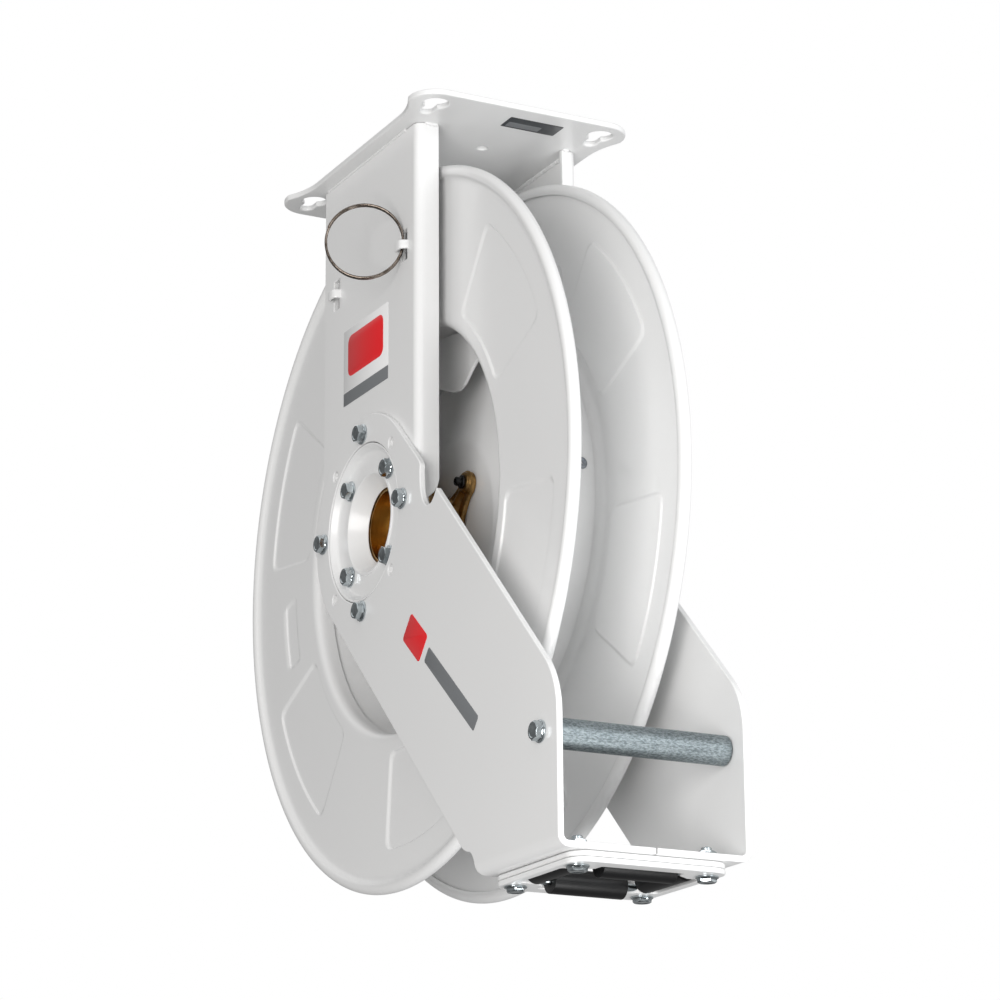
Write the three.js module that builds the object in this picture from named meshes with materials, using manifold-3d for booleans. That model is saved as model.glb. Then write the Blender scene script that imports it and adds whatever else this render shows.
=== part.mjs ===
// Spring-rewind hose reel, twin-post frame, hung from a ceiling plate.
// Units are millimetres, +Z up. X runs along the drum axle from the inlet side
// (-X) to the spring side (+X). The hose leaves at the front, towards -Y.
// The origin is on the top face of the mounting plate, straight above the axle.
import * as THREE from 'three';
import { mergeVertices } from 'three/addons/utils/BufferGeometryUtils.js';
import Module from 'manifold-3d';

const wasm = await Module();
wasm.setup();

// ---------------------------------------------------------------- dimensions
const HUB_DROP = 325;          // plate top face down to the axle
const GAP = 0.3;               // clearance between touching pieces

const FRAME_HALF = 80;         // half width over the two arms
const ARM_T = 5;               // arm sheet
const POST_T = 5;              // post sheet
const PLATE_T = 5;             // mounting plate
const PLATE_HX = 88.5;         // plate half width between the ears
const EAR_HX = 98.5;           // plate half width over the ears
const PLATE_Y0 = -149;         // plate front edge
const PLATE_Y1 = 143;          // plate back edge
const EAR_R = 24;              // ear corner radius
const KEY_X = 76;              // keyhole slot columns
const KEY_PITCH_Y = 238;       // keyhole slot rows
const KEY_Y = -128;            // front row, centre of the large lobe
const KEY_R = 10.5;            // large lobe radius
const KEY_R2 = 5.5;            // narrow lobe radius
const KEY_L = 17;              // lobe centre to lobe centre

const POST_HY = 89;            // post half depth
const POST_FLANGE_L = 21;      // front flange of the inlet-side post, past the web
const POST_FLANGE_R = 14;      // front flange of the spring-side post
const POST_EAR_R = 105;        // swelling of the post round the hub, at the back

const ARM_R = 90;              // arm head radius, and half the arm width
const ARM_Y0 = -328;           // arm front edge
const ARM_Z0 = -322.5;         // underside of the arm's bottom flange
const ARM_BACK = 121.6;        // back edge lies on z = y - ARM_BACK
const ARM_FRONT = 128;         // front edge lies on z = y + ARM_FRONT
const HUB_HOLE_R = 66.4;       // clearance hole in arm and post
const PCD_OUT = 150;           // frame bolt circle
const PCD_IN = 104;            // hub bolt circle
const SCREW_DEG = 39;          // first swivel screw, up from the front
const BOLT_R = 4;              // M8 shank
const BOLT_HOLE_R = 4.6;

const BAR_Y = -303.5, BAR_Z = -235.5, BAR_R = 11.4;   // crossbar

const DRUM_R = 300;            // over the rolled rims
const RIM_R = 5.3;             // rolled rim radius
const RIM_NEAR = -44;          // near flange plane
const RIM_FAR = 51;            // far flange plane
const SHEET = 1.5;             // drum sheet
const LIP_R = 168.5;           // inside of the flange lips
const CORE_R = 172;            // outside of the winding core
const PORT_X = -15.5;            // plane of the side outlet

const CAR_Y = -260;            // middle of the roller guide
const CAR_H = 65;              // half size of the carrier plates
const CAR_T = 4;               // carrier plate thickness
const CAR_BX = 53.5, CAR_BY = 47.5;                    // carrier bolts
const Z_UP = ARM_Z0 - GAP;                             // top of upper carrier plate
const Z_LOW = Z_UP - CAR_T - GAP;                      // top of lower carrier plate
const Z_BOT = Z_LOW - CAR_T;                           // underside of the carrier
const ZY = ARM_Z0 - GAP / 2;                           // level of the side roller axles
const ZX = Z_UP - CAR_T - GAP / 2;                     // level of the front and back roller axles
const ROLL_X = 46, ROLL_Y = 37;                        // roller axes from the middle
const RX_R = 9.6, RX_HL = 30.5, RY_R = 9.4, RY_HL = 29;
const AXLE_R = 3;

// ---------------------------------------------------------------- materials
const std = (hex, roughness, metalness = 0) => new THREE.MeshStandardMaterial({ color: hex, roughness, metalness });
const M = {
  white: std(0xe9eaea, 0.35),
  zinc: std(0xb9c2c6, 0.35, 0.9),
  steel: std(0x9a9c9e, 0.4, 0.9),
  dark: std(0x4a443e, 0.45, 0.85),
  brass: std(0xb08a45, 0.3, 0.9),
  black: std(0x141517, 0.45),
  bush: std(0x2a2a2c, 0.5),
  spring: std(0x6d7378, 0.35, 0.9),
};

// ---------------------------------------------------------------- helpers
function clean(geo) {
  let g = geo.clone();
  g.deleteAttribute('normal');
  g.deleteAttribute('uv');
  g = mergeVertices(g, 1e-4);
  // drop collapsed triangles, then face the surface outwards
  const p = g.attributes.position.array, idx = Array.from(g.index.array), out = [];
  let vol = 0;
  for (let i = 0; i < idx.length; i += 3) {
    const [a, b, c] = [idx[i], idx[i + 1], idx[i + 2]];
    if (a === b || b === c || a === c) continue;
    out.push(a, b, c);
    const A = [p[3 * a], p[3 * a + 1], p[3 * a + 2]], B = [p[3 * b], p[3 * b + 1], p[3 * b + 2]], C = [p[3 * c], p[3 * c + 1], p[3 * c + 2]];
    vol += A[0] * (B[1] * C[2] - B[2] * C[1]) - A[1] * (B[0] * C[2] - B[2] * C[0]) + A[2] * (B[0] * C[1] - B[1] * C[0]);
  }
  if (vol < 0) for (let i = 0; i < out.length; i += 3) [out[i], out[i + 1]] = [out[i + 1], out[i]];
  g.setIndex(out);
  return g;
}
const solid = (geo) => {
  const g = clean(geo);
  return new wasm.Manifold(new wasm.Mesh({
    numProp: 3,
    vertProperties: Float32Array.from(g.attributes.position.array),
    triVerts: Uint32Array.from(g.index.array),
  }));
};
const back = (man) => {
  const m = man.getMesh();
  const g = new THREE.BufferGeometry();
  g.setAttribute('position', new THREE.BufferAttribute(Float32Array.from(m.vertProperties), 3));
  g.setIndex(Array.from(m.triVerts));
  return g;
};
const cut = (a, ...tools) => back(tools.reduce((s, t) => s.subtract(solid(t)), solid(a)));
const join = (a, ...more) => back(more.reduce((s, t) => s.add(solid(t)), solid(a)));

const YZ = new THREE.Matrix4().makeBasis(new THREE.Vector3(0, 1, 0), new THREE.Vector3(0, 0, 1), new THREE.Vector3(1, 0, 0));
const XZ = new THREE.Matrix4().makeBasis(new THREE.Vector3(1, 0, 0), new THREE.Vector3(0, 0, 1), new THREE.Vector3(0, -1, 0));
// a flat piece drawn in Y,Z and thickened along X from x0 to x1
const plateYZ = (shape, x0, x1, seg = 10) => new THREE.ExtrudeGeometry(shape, { depth: x1 - x0, bevelEnabled: false, curveSegments: seg }).applyMatrix4(YZ).translate(x0, 0, 0);
// a flat piece drawn in X,Y and thickened along Z
const plateXY = (shape, z0, z1, seg = 10) => new THREE.ExtrudeGeometry(shape, { depth: z1 - z0, bevelEnabled: false, curveSegments: seg }).translate(0, 0, z0);
// a section drawn in X,Z and run along Y
const runY = (shape, y0, y1, seg = 6) => new THREE.ExtrudeGeometry(shape, { depth: y1 - y0, bevelEnabled: false, curveSegments: seg }).applyMatrix4(XZ).translate(0, y1, 0);
const box = (x0, x1, y0, y1, z0, z1) => new THREE.BoxGeometry(x1 - x0, y1 - y0, z1 - z0).translate((x0 + x1) / 2, (y0 + y1) / 2, (z0 + z1) / 2);
const cylX = (r, x0, x1, y = 0, z = 0, seg = 16) => new THREE.CylinderGeometry(r, r, x1 - x0, seg).rotateZ(-Math.PI / 2).translate((x0 + x1) / 2, y, z);
const cylY = (r, y0, y1, x, z, seg = 16) => new THREE.CylinderGeometry(r, r, y1 - y0, seg).translate(x, (y0 + y1) / 2, z);
const cylZ = (r, z0, z1, x, y, seg = 16) => new THREE.CylinderGeometry(r, r, z1 - z0, seg).rotateX(Math.PI / 2).translate(x, y, (z0 + z1) / 2);
// a turned piece about the X axis: points are [x, r]; closed unless both ends are on the axis
function turned(pts, seg = 28) {
  const v = pts.map(([x, r]) => new THREE.Vector2(r, x));
  if (pts[0][1] > 0 || pts[pts.length - 1][1] > 0) v.push(v[0].clone());
  return new THREE.LatheGeometry(v, seg).rotateZ(-Math.PI / 2);
}
const poly = (pts) => {
  const v = pts.map(([a, b]) => new THREE.Vector2(a, b));
  return new THREE.Shape(THREE.ShapeUtils.isClockWise(v) ? v.reverse() : v);
};
const arc = (cx, cy, r, d0, d1, n) => Array.from({ length: n + 1 }, (_, i) => {
  const t = THREE.MathUtils.degToRad(d0 + (d1 - d0) * i / n);
  return [cx + r * Math.cos(t), cy + r * Math.sin(t)];
});
const hole = (x, y, r) => { const h = new THREE.Path(); h.absarc(x, y, r, 0, 2 * Math.PI, true); return h; };
// a round wire along a smooth curve through the points
const wireAlong = (pts, r, steps, sides) => new THREE.ExtrudeGeometry(poly(arc(0, 0, r, 0, 360 * (sides - 1) / sides, sides - 1)), { steps, extrudePath: new THREE.CatmullRomCurve3(pts), bevelEnabled: false });
// angle measured from the front (-Y) upwards, as [y, z]
const pol = (r, deg) => { const t = THREE.MathUtils.degToRad(deg); return [-r * Math.cos(t), r * Math.sin(t)]; };

const reel = new THREE.Group();
reel.position.z = -HUB_DROP;
const part = new THREE.Group();
part.add(reel);
function add(name, geo, mat, parent = reel) {
  const m = new THREE.Mesh(clean(geo), mat);
  m.name = name;
  parent.add(m);
  return m;
}
const mirrorX = (geo) => { const g = clean(geo.clone()); g.scale(-1, 1, 1); return g; };

// ---------------------------------------------------------------- mounting plate
{
  const s = new THREE.Shape();
  const ex = EAR_HX - EAR_R, ya = PLATE_Y0 + EAR_R, yb = PLATE_Y1 - EAR_R;
  const pts = [
    ...arc(ex, yb, EAR_R, 90, -6, 6),
    [PLATE_HX + 4.6, yb - 14], [PLATE_HX + 1.6, yb - 24], [PLATE_HX, yb - 36],
    [PLATE_HX, ya + 36], [PLATE_HX + 1.6, ya + 24], [PLATE_HX + 4.6, ya + 14],
    ...arc(ex, ya, EAR_R, 6, -90, 6),
  ];
  const all = [...pts, ...pts.slice().reverse().map(([x, y]) => [-x, y])];
  const shape = poly(all);
  for (const x of [-KEY_X, KEY_X]) for (const row of [0, 1]) {
    const y = KEY_Y + row * KEY_PITCH_Y;
    const a = Math.asin(KEY_R2 / KEY_R) * 180 / Math.PI;
    shape.holes.push(new THREE.Path([...arc(x, y, KEY_R, 90 + a, 450 - a, 10), ...arc(x, y + KEY_L, KEY_R2, 0, 180, 4)].map(([u, v]) => new THREE.Vector2(u, v))));
  }
  shape.holes.push(hole(0, -62, 4));
  add('mounting_plate', plateXY(shape, HUB_DROP - PLATE_T, HUB_DROP, 6), M.white);
}

// ---------------------------------------------------------------- posts
const POST_TOP = HUB_DROP - PLATE_T - GAP;
function post(side, flange) {
  // built for the -X side, with the web's outer face at xo
  const xo = -(FRAME_HALF - ARM_T - GAP), xi = xo + POST_T, R = 7;
  const sec = poly([
    [xo, POST_HY], ...arc(xo + R, -90 + R, R, 180, 270, 4), [xi + flange - 5, -90], [xi + flange - 5, -90 + POST_T],
    ...arc(xo + R, -90 + R, R - POST_T, 270, 180, 3), [xi, POST_HY],
  ]);
  let body = new THREE.ExtrudeGeometry(sec, { depth: POST_TOP, bevelEnabled: false }).translate(0, 0, 0);
  body = join(body, new THREE.ExtrudeGeometry(poly([[xo + 0.0, -83], [xo + R, -90], [xi + flange - 5, -90], [xi + flange - 5, -85], [xi, -85], [xi, -83]].map(([a, b]) => [a, b])), { depth: 12, bevelEnabled: false }).translate(0, 0, -8));
  // web swelling and lower end round the hub, drawn in y,z
  const A = (r, d) => { const t = d * Math.PI / 180; return [r * Math.cos(t), r * Math.sin(t)]; };
  const low = poly([
    [POST_HY, 62], ...[33, 28, 21, 14, 7, 2].map((d) => A(POST_EAR_R, d)), A(101, -3), A(94, -7), A(88, -12),
    ...Array.from({ length: 13 }, (_, i) => A(88, -20 - i * 12)), [-85.5, -8], [-85.5, 62],
  ]);
  body = join(body, plateYZ(low, xo, xi));
  const tools = [cylX(HUB_HOLE_R, xo - 1, xi + 1, 0, 0, 28)];
  for (let k = 0; k < 4; k++) { const [y, z] = pol(PCD_OUT / 2, k * 90); tools.push(cylX(BOLT_HOLE_R, xo - 1, xi + 1, y, z, 8)); }
  // windows above and below the two lanced bridges
  for (const y of [-66, 64.5]) { tools.push(box(xo - 1, xi + 1, y - 6, y + 6, 221.5, 232)); tools.push(box(xo - 1, xi + 1, y - 6, y + 6, 206, 214)); tools.push(box(xo - 1, xi + 1, y - 3.6, y + 3.6, 213, 222)); }
  if (side > 0) tools.push(cylX(BOLT_HOLE_R, xo - 1, xi + 1, 45, 88, 12));
  body = cut(body, ...tools);
  // bridges: two feet on the web, a strap pushed outwards
  for (const y of [-66, 64.5]) {
    const strap = poly([[y - 7.4, xo + 1], [y - 7.4, xo - 1.2], [y - 4.6, xo - 5.5], [y + 4.6, xo - 5.5], [y + 7.4, xo - 1.2], [y + 7.4, xo + 1], [y + 4.9, xo + 1], [y + 3.4, xo - 3.5], [y - 3.4, xo - 3.5], [y - 4.9, xo + 1]].map(([a, b]) => [b, a]));
    body = join(body, new THREE.ExtrudeGeometry(strap, { depth: 7.4, bevelEnabled: false }).translate(0, 0, 214.1));
  }
  return side < 0 ? body : mirrorX(body);
}
add('upright_left', post(-1, POST_FLANGE_L), M.white);
add('upright_right', post(1, POST_FLANGE_R), M.white);

// ---------------------------------------------------------------- outlet arms
const WIN = (m) => poly([[-34.3, -49.3], [34.3, -49.3], [34.3, -40], [45, -32.2], [57.8, -32.2], [57.8, 32.2], [45, 32.2], [34.3, 40], [34.3, 49.3], [-34.3, 49.3], [-34.3, 40], [-45, 32.2], [-57.8, 32.2], [-57.8, -32.2], [-45, -32.2], [-34.3, -40]].map(([x, y]) => [x * m, CAR_Y + y]));
const axleGrooves = () => {
  const g = [];
  for (const s of [-1, 1]) {
    g.push(cylX(AXLE_R + GAP + 0.1, -43, 43, CAR_Y + s * ROLL_Y, ZX, 10));
    g.push(cylY(AXLE_R + GAP + 0.1, CAR_Y - 52.4, CAR_Y + 52.4, s * ROLL_X, ZY, 10));
  }
  return g;
};
function arm(side) {
  const xo = -FRAME_HALF, xi = xo + ARM_T, R = 9;
  const tan = THREE.MathUtils.degToRad;
  const web = poly([
    ...arc(0, 0, ARM_R, -46, 135, 24),                                   // head, from the back edge over the top to the front edge
    [-106, 22], ...[[-106, 14], [-107, 2], [-109.5, -8], [-114, -14.5], [-120, -17.5], [-126, -17], [-131, -13], [-135, -8.6]],      // notch round the foot of the post
    ...arc(ARM_Y0 + 58, -223.8, 58, 135, 180, 6),
    [ARM_Y0, -314], [-198, -314], [-196, -310], [-190, -306], [-184, -302],
    [-178, -178 - ARM_BACK],
  ]);
  let g = plateYZ(web, xo, xi);
  const sec = poly([[xi, -305], ...arc(xo + R, ARM_Z0 + R, R - ARM_T, 180, 270, 3), [-1, ARM_Z0 + ARM_T], [-1, ARM_Z0], ...arc(xo + R, ARM_Z0 + R, R, 270, 180, 5), [xo, -305]]);
  g = join(g, runY(sec, ARM_Y0, -198));
  const tools = [cylX(HUB_HOLE_R, xo - 1, xi + 1, 0, 0, 28), cylX(5.2, xo - 1, xi + 1, BAR_Y, BAR_Z, 8), plateXY(WIN(1), ARM_Z0 - 3, ARM_Z0 + 12), ...axleGrooves()];
  for (let k = 0; k < 8; k++) { const [y, z] = pol(PCD_OUT / 2, k * 45); tools.push(cylX(BOLT_HOLE_R, xo - 1, xi + 1, y, z, 8)); }
  for (const s of [-1, 1]) tools.push(cylZ(BOLT_HOLE_R, ARM_Z0 - 3, ARM_Z0 + 12, -CAR_BX, CAR_Y + s * CAR_BY, 8));
  g = cut(g, ...tools);
  return side < 0 ? g : mirrorX(g);
}
add('arm_left', arm(-1), M.white);
add('arm_right', arm(1), M.white);

// ---------------------------------------------------------------- hubs
const dish = [[-79.4, 65.6], [-79.4, 64.8], [-77.6, 63.2], [-75, 62.0], [-73, 61.2]];
function hubHoles(g, inner) {
  const tools = [];
  for (let k = 0; k < 4; k++) { const [y, z] = pol(PCD_OUT / 2, k * 90); tools.push(cylX(BOLT_HOLE_R, -70, -60, y, z, 8)); }
  if (inner) for (let k = 0; k < 4; k++) { const [y, z] = pol(PCD_IN / 2, 45 + k * 90); tools.push(cylX(BOLT_HOLE_R, -75, -55, y, z, 8)); }
  return cut(g, ...tools);
}
add('hub_flange_left', hubHoles(turned([...dish, [-73, 43.1], [-74.2, 42.7], [-74.2, 41.2], [-72.4, 39.6], [-59.2, 31.0], [-59.2, 60], [-64.4, 62], [-64.4, 82], [-69.4, 82], [-69.4, 65.6]]), true), M.white);
add('hub_flange_right', mirrorX(hubHoles(turned([...dish, [-73, 15.4], [-57.2, 15.4], [-57.2, 24], [-60.2, 27], [-60.2, 60], [-64.4, 62], [-64.4, 82], [-69.4, 82], [-69.4, 65.6]]), false)), M.white);

{
  // bearing housing behind the inlet-side hub, held by the four inner bolts
  const tools = [];
  for (let k = 0; k < 4; k++) { const [y, z] = pol(PCD_IN / 2, 45 + k * 90); tools.push(cylX(BOLT_HOLE_R, -60, -50.6, y, z, 8)); }
  add('bearing_housing', cut(turned([[-58.9, 36.2], [-58.9, 60], [-49, 60], [-47, 47], [-40, 44], [-40, 37.9], [-56.2, 37.9], [-56.2, 36.2]], 28), ...tools), M.white);
  add('bearing_bush', turned([[-55.9, 34.4], [-55.9, 37.5], [-40.4, 37.5], [-40.4, 34.4]], 28), M.bush);
}

// ---------------------------------------------------------------- hub fasteners (hex flange head bolts along X)
function hexBolt(len, seg = 8) {
  // head outwards along -X, seating face at x = 0
  const h = turned([[0, 0], [0, 8.6], [-1.4, 8.6], [-2.4, 7.6], [-2.4, 0]], seg);
  const hex = new THREE.CylinderGeometry(7.4, 7.4, 4.9, 6).rotateZ(-Math.PI / 2).translate(-4.55, 0, 0);
  const shank = cylX(BOLT_R, -1, len, 0, 0, seg);
  return join(h, hex, shank);
}
const left = new THREE.Group(), right = new THREE.Group();
reel.add(left, right);
function boltAt(name, x, y, z, len, side, tilt = 0) {
  const g = hexBolt(len).rotateX(THREE.MathUtils.degToRad(tilt));
  const m = add(name, side < 0 ? g : mirrorX(g), M.zinc, side < 0 ? left : right);
  m.position.set(x, y, z);
}
const names = ['front', 'top', 'back', 'bottom'];
for (let k = 0; k < 4; k++) {
  const [y, z] = pol(PCD_OUT / 2, k * 90);
  boltAt(`frame_bolt_left_${names[k]}`, -FRAME_HALF - 0.1, y, z, 18.5, -1, 11 + k * 23);
  boltAt(`frame_bolt_right_${names[k]}`, FRAME_HALF + 0.1, y, z, 18.5, 1, 7 + k * 17);
  const [yi, zi] = pol(PCD_IN / 2, 45 + k * 90);
  boltAt(`hub_bolt_left_${k + 1}`, -73.1, yi, zi, 21, -1, 5 + k * 31);
}

// ---------------------------------------------------------------- crossbar
{
  const s = [[-74.7, 0], [-74.7, BAR_R - 1.6], [-73.1, BAR_R], [73.1, BAR_R], [74.7, BAR_R - 1.6], [74.7, 0]];
  const bar = cut(turned(s, 24), cylX(BOLT_R + 0.4, -80, -48, 0, 0, 12), cylX(BOLT_R + 0.4, 48, 80, 0, 0, 12));
  add('crossbar', bar, M.zinc).position.set(0, BAR_Y, BAR_Z);
  boltAt('crossbar_bolt_left', -FRAME_HALF - 0.1, BAR_Y, BAR_Z, 28, -1, 15);
  boltAt('crossbar_bolt_right', FRAME_HALF + 0.1, BAR_Y, BAR_Z, 28, 1, 40);
}

// ---------------------------------------------------------------- roller guide
{
  const outline = () => {
    const r = 15, h = CAR_H;
    return poly([...arc(h - r, CAR_Y + h - r, r, 90, 0, 4), ...arc(h - r, CAR_Y - h + r, r, 0, -90, 4), ...arc(-h + r, CAR_Y - h + r, r, -90, -180, 4), ...arc(-h + r, CAR_Y + h - r, r, 180, 90, 4)]);
  };
  const plate = (z0, z1) => {
    const tools = [plateXY(WIN(1), z0 - 1, z1 + 1), ...axleGrooves()];
    for (const a of [-1, 1]) for (const b of [-1, 1]) tools.push(cylZ(BOLT_HOLE_R, z0 - 1, z1 + 1, a * CAR_BX, CAR_Y + b * CAR_BY, 8));
    return cut(plateXY(outline(), z0, z1), ...tools);
  };
  add('roller_plate_upper', plate(Z_UP - CAR_T, Z_UP), M.white);
  add('roller_plate_lower', plate(Z_LOW - CAR_T, Z_LOW), M.white);
  const roller = (r, hl) => turned([[-hl, 3.6], [-hl, r - 1.5], [-hl + 1.5, r], [hl - 1.5, r], [hl, r - 1.5], [hl, 3.6]], 16);
  for (const [n, s] of [['front', -1], ['back', 1]]) {
    add(`roller_${n}`, roller(RX_R, RX_HL), M.black).position.set(0, CAR_Y + s * ROLL_Y, ZX);
    add(`roller_axle_${n}`, cylX(AXLE_R, -42.5, 42.5, 0, 0, 12), M.zinc).position.set(0, CAR_Y + s * ROLL_Y, ZX);
  }
  for (const [n, s] of [['left', -1], ['right', 1]]) {
    const r = add(`roller_${n}`, roller(RY_R, RY_HL).rotateZ(Math.PI / 2), M.black); r.position.set(s * ROLL_X, CAR_Y, ZY);
    add(`roller_axle_${n}`, cylY(AXLE_R, -52, 52, 0, 0, 12), M.zinc).position.set(s * ROLL_X, CAR_Y, ZY);
  }
  // carrier bolts: flange head below, nut above the arm flange, one clamped set each
  const nut = new THREE.CylinderGeometry(7.4, 7.4, 5, 6).rotateX(Math.PI / 2);
  const lowHead = () => join(turned([[0, 0], [0, 8.6], [-1.4, 8.6], [-2.4, 7.6], [-2.4, 0]], 12), new THREE.CylinderGeometry(7.2, 7.2, 2.6, 6).rotateZ(-Math.PI / 2).translate(-3.4, 0, 0), cylX(BOLT_R, -1, 21.4, 0, 0, 8));
  const set = () => {
    const head = lowHead().rotateY(-Math.PI / 2);                        // low head down, shank up
    const zt = ARM_Z0 + ARM_T - Z_BOT;                                   // clamp length
    return join(head.translate(0, 0, -0.1), nut.clone().translate(0, 0, zt + 0.1 + 2.5));
  };
  let i = 1;
  for (const a of [-1, 1]) for (const b of [-1, 1]) {
    add(`roller_bolt_${i++}`, set(), M.zinc).position.set(a * CAR_BX, CAR_Y + b * CAR_BY, Z_BOT);
  }
}

// ---------------------------------------------------------------- drum
{
  // rolled-rim flange with an inward lip; s = +1 turns the lip towards +X
  const flange = (x, s, seg = 40) => {
    const t = SHEET / 2, rc = DRUM_R - RIM_R;
    const rim = [];
    for (let i = 0; i <= 6; i++) {
      const a = (-164 + 328 * i / 6) * Math.PI / 180;
      rim.push([RIM_R * Math.sin(a), rc + RIM_R * Math.cos(a)]);
    }
    const pts = [
      [-t, LIP_R + 10], ...rim.map(([u, r]) => [u, r]), [t, LIP_R + 12],
      [t + 1.2, LIP_R + 6], [t + 5, LIP_R + 2], [14, LIP_R + 1.5], [14, LIP_R],
      [4, LIP_R], [0.2, LIP_R + 4],
    ];
    return turned(pts.map(([u, r]) => [x + s * u, r]), seg);
  };
  add('drum_flange_left', flange(RIM_NEAR, 1), M.white);
  add('drum_flange_right', flange(RIM_FAR, -1), M.white);
  const core0 = RIM_NEAR + 9.6, core1 = RIM_FAR - 9.6;
  const rp = CORE_R - 1.2;
  const hosePort = (() => { const [y, z] = pol(1, 120); return new THREE.CylinderGeometry(14.5, 14.5, 30, 20).applyMatrix4(new THREE.Matrix4().makeRotationX(Math.atan2(z, y))).translate(PORT_X, y * CORE_R, z * CORE_R); })();
  add('drum_core', cut(turned([[core0, rp], [core0, CORE_R], [core1, CORE_R], [core1, rp]], 40), hosePort), M.white);
  // closing web, dished towards the spring side
  const web = [[0, 22.8], [0, 78], [20.4, 151], [28, 165], [40.6, 167.1], [40.6, 165.6], [29.2, 163.4], [22.3, 150], [1.8, 77.6], [1.8, 22.8]];
  const tools = [];
  for (let k = 0; k < 3; k++) { const [y, z] = pol(PCD_IN / 2, SCREW_DEG + k * 120); tools.push(cylX(BOLT_HOLE_R, -2, 10, y, z, 8)); }
  add('drum_web', cut(turned(web, 32), ...tools), M.white);

  // brass swivel: hollow journal, three-lobed bolting flange, side outlet
  const journal = turned([[-58.6, 29.5], [-58.6, 34], [-36, 34], [-30, 32.5], [-14, 27], [-8, 25.7], [-5, 27], [-0.6, 27.5], [-0.6, 0], [-15, 0], [-22, 21], [-34, 29.5]], 28);
  const lobes = [];
  for (let k = 0; k < 3; k++) {
    const t = (SCREW_DEG + k * 120) * Math.PI / 180, yy = -Math.cos(t), zz = Math.sin(t);
    const flank = [[22, 10], [20.5, 18.1], [16.7, 23.5], [14.2, 28.6], [12.1, 34.2], [10.6, 39.2], [10.1, 45]];
    const turn = (pts) => poly(pts.map(([u, v]) => [v * yy - u * zz, v * zz + u * yy]));
    lobes.push(plateYZ(turn([...flank, ...arc(0, PCD_IN / 2 - 1.5, 10.6, 0, 180, 6), ...flank.slice().reverse().map(([u, v]) => [-u, v])]), -5, -0.6));
    lobes.push(plateYZ(turn([[3.2, 20], [3.2, 48], [-3.2, 48], [-3.2, 20]]), -8.2, -4.9));
    lobes.push(cylX(8.2, -8.6, -4.9, PCD_IN / 2 * yy, PCD_IN / 2 * zz, 16));
  }
  const [oy, oz] = pol(1, 120);
  const pipeDir = new THREE.Matrix4().makeRotationX(Math.atan2(oz, oy));
  const stub = (r, r0, r1, seg = 16) => new THREE.CylinderGeometry(r, r, r1 - r0, seg).translate(0, (r0 + r1) / 2, 0).applyMatrix4(pipeDir).translate(PORT_X, 0, 0);
  let sw = join(journal, ...lobes, stub(14.8, 19, 58));
  const bores = [stub(11, 12, 60), cylX(11, -34, -15.5, 0, 0, 16)];
  for (let k = 0; k < 3; k++) { const [y, z] = pol(PCD_IN / 2, SCREW_DEG + k * 120); bores.push(cylX(BOLT_HOLE_R, -10, 6, y, z, 8)); }
  add('swivel_body', cut(sw, ...bores), M.brass);
  for (let k = 0; k < 3; k++) {
    const [y, z] = pol(PCD_IN / 2, SCREW_DEG + k * 120);
    const g = join(cylX(5.8, -15.6, -8.8, 0, 0, 16), cylX(BOLT_R, -9, 15, 0, 0, 12));
    add(`swivel_screw_${k + 1}`, cut(g, new THREE.CylinderGeometry(3.2, 3.2, 4, 6).rotateZ(-Math.PI / 2).translate(-14.6, 0, 0)), M.black).position.set(0, y, z);
  }
  // outlet pipe from the swivel to the core, and the hose nipple through the core
  add('outlet_pipe', cut(stub(14.5, 58.4, 158, 20), stub(11, 50, 170, 16)), M.steel);
  const hexn = new THREE.CylinderGeometry(15.4, 15.4, 8, 6).translate(0, 162.4, 0).applyMatrix4(pipeDir).translate(PORT_X, 0, 0);
  add('hose_nipple', cut(join(stub(13.2, 158.4, 188), hexn), stub(9.5, 150, 200)), M.brass);

  // steel hub ring behind the web, with its plain bearing on the fixed shaft
  const hubTools = [];
  for (let k = 0; k < 3; k++) { const [y, z] = pol(PCD_IN / 2, SCREW_DEG + k * 120); hubTools.push(cylX(BOLT_HOLE_R, 1, 16.5, y, z, 8)); }
  add('drum_hub', cut(turned([[2.1, 22.6], [2.1, 62], [19.6, 62], [19.6, 22.6]], 24), ...hubTools), M.steel);
  add('drum_bearing', turned([[6.4, 15.5], [6.4, 22.3], [19.4, 22.3], [19.4, 15.5]], 24), M.bush);

  // spring case, its cover and the coiled power spring inside
  add('spring_case', turned([[20, 64], [20, 120], [46, 120], [46, 118.4], [21.6, 118.4], [21.6, 30], [20, 30]], 32), M.steel);
  add('spring_cover', turned([[46.3, 18], [46.3, 120], [47.9, 120], [47.9, 18]], 32), M.steel);
  const turns = 5, n = 65, sp = [], sq = [], r0 = 17.2, r1 = 112;
  const outer = [], inner = [];
  for (let i = 0; i <= n; i++) {
    const a = turns * 2 * Math.PI * i / n, r = r0 + (r1 - r0) * Math.pow(i / n, 0.9);
    outer.push([(r + 0.8) * Math.cos(a), (r + 0.8) * Math.sin(a)]);
    inner.push([(r - 0.8) * Math.cos(a), (r - 0.8) * Math.sin(a)]);
  }
  add('power_spring', plateYZ(poly([...outer, ...inner.reverse()]), 23, 45), M.spring);

  // ratchet ring on the cover
  const teeth = [];
  for (let k = 0; k < 12; k++) {
    const a0 = 76.4 + k * 30;                                     // gap middle sits under the pawl
    for (const [da, r] of [[-15, 53], [-7, 53], [7, 53], [10, 60], [13, 60]]) {
      const t = (a0 + da) * Math.PI / 180;
      teeth.push([r * Math.cos(t), r * Math.sin(t)]);
    }
  }
  const rs = poly(teeth.filter((_, i) => i % 5 !== 0));
  rs.holes.push(hole(0, 0, 24));
  add('ratchet_wheel', plateYZ(rs, 48.2, 53.8, 10), M.steel);
}

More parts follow.
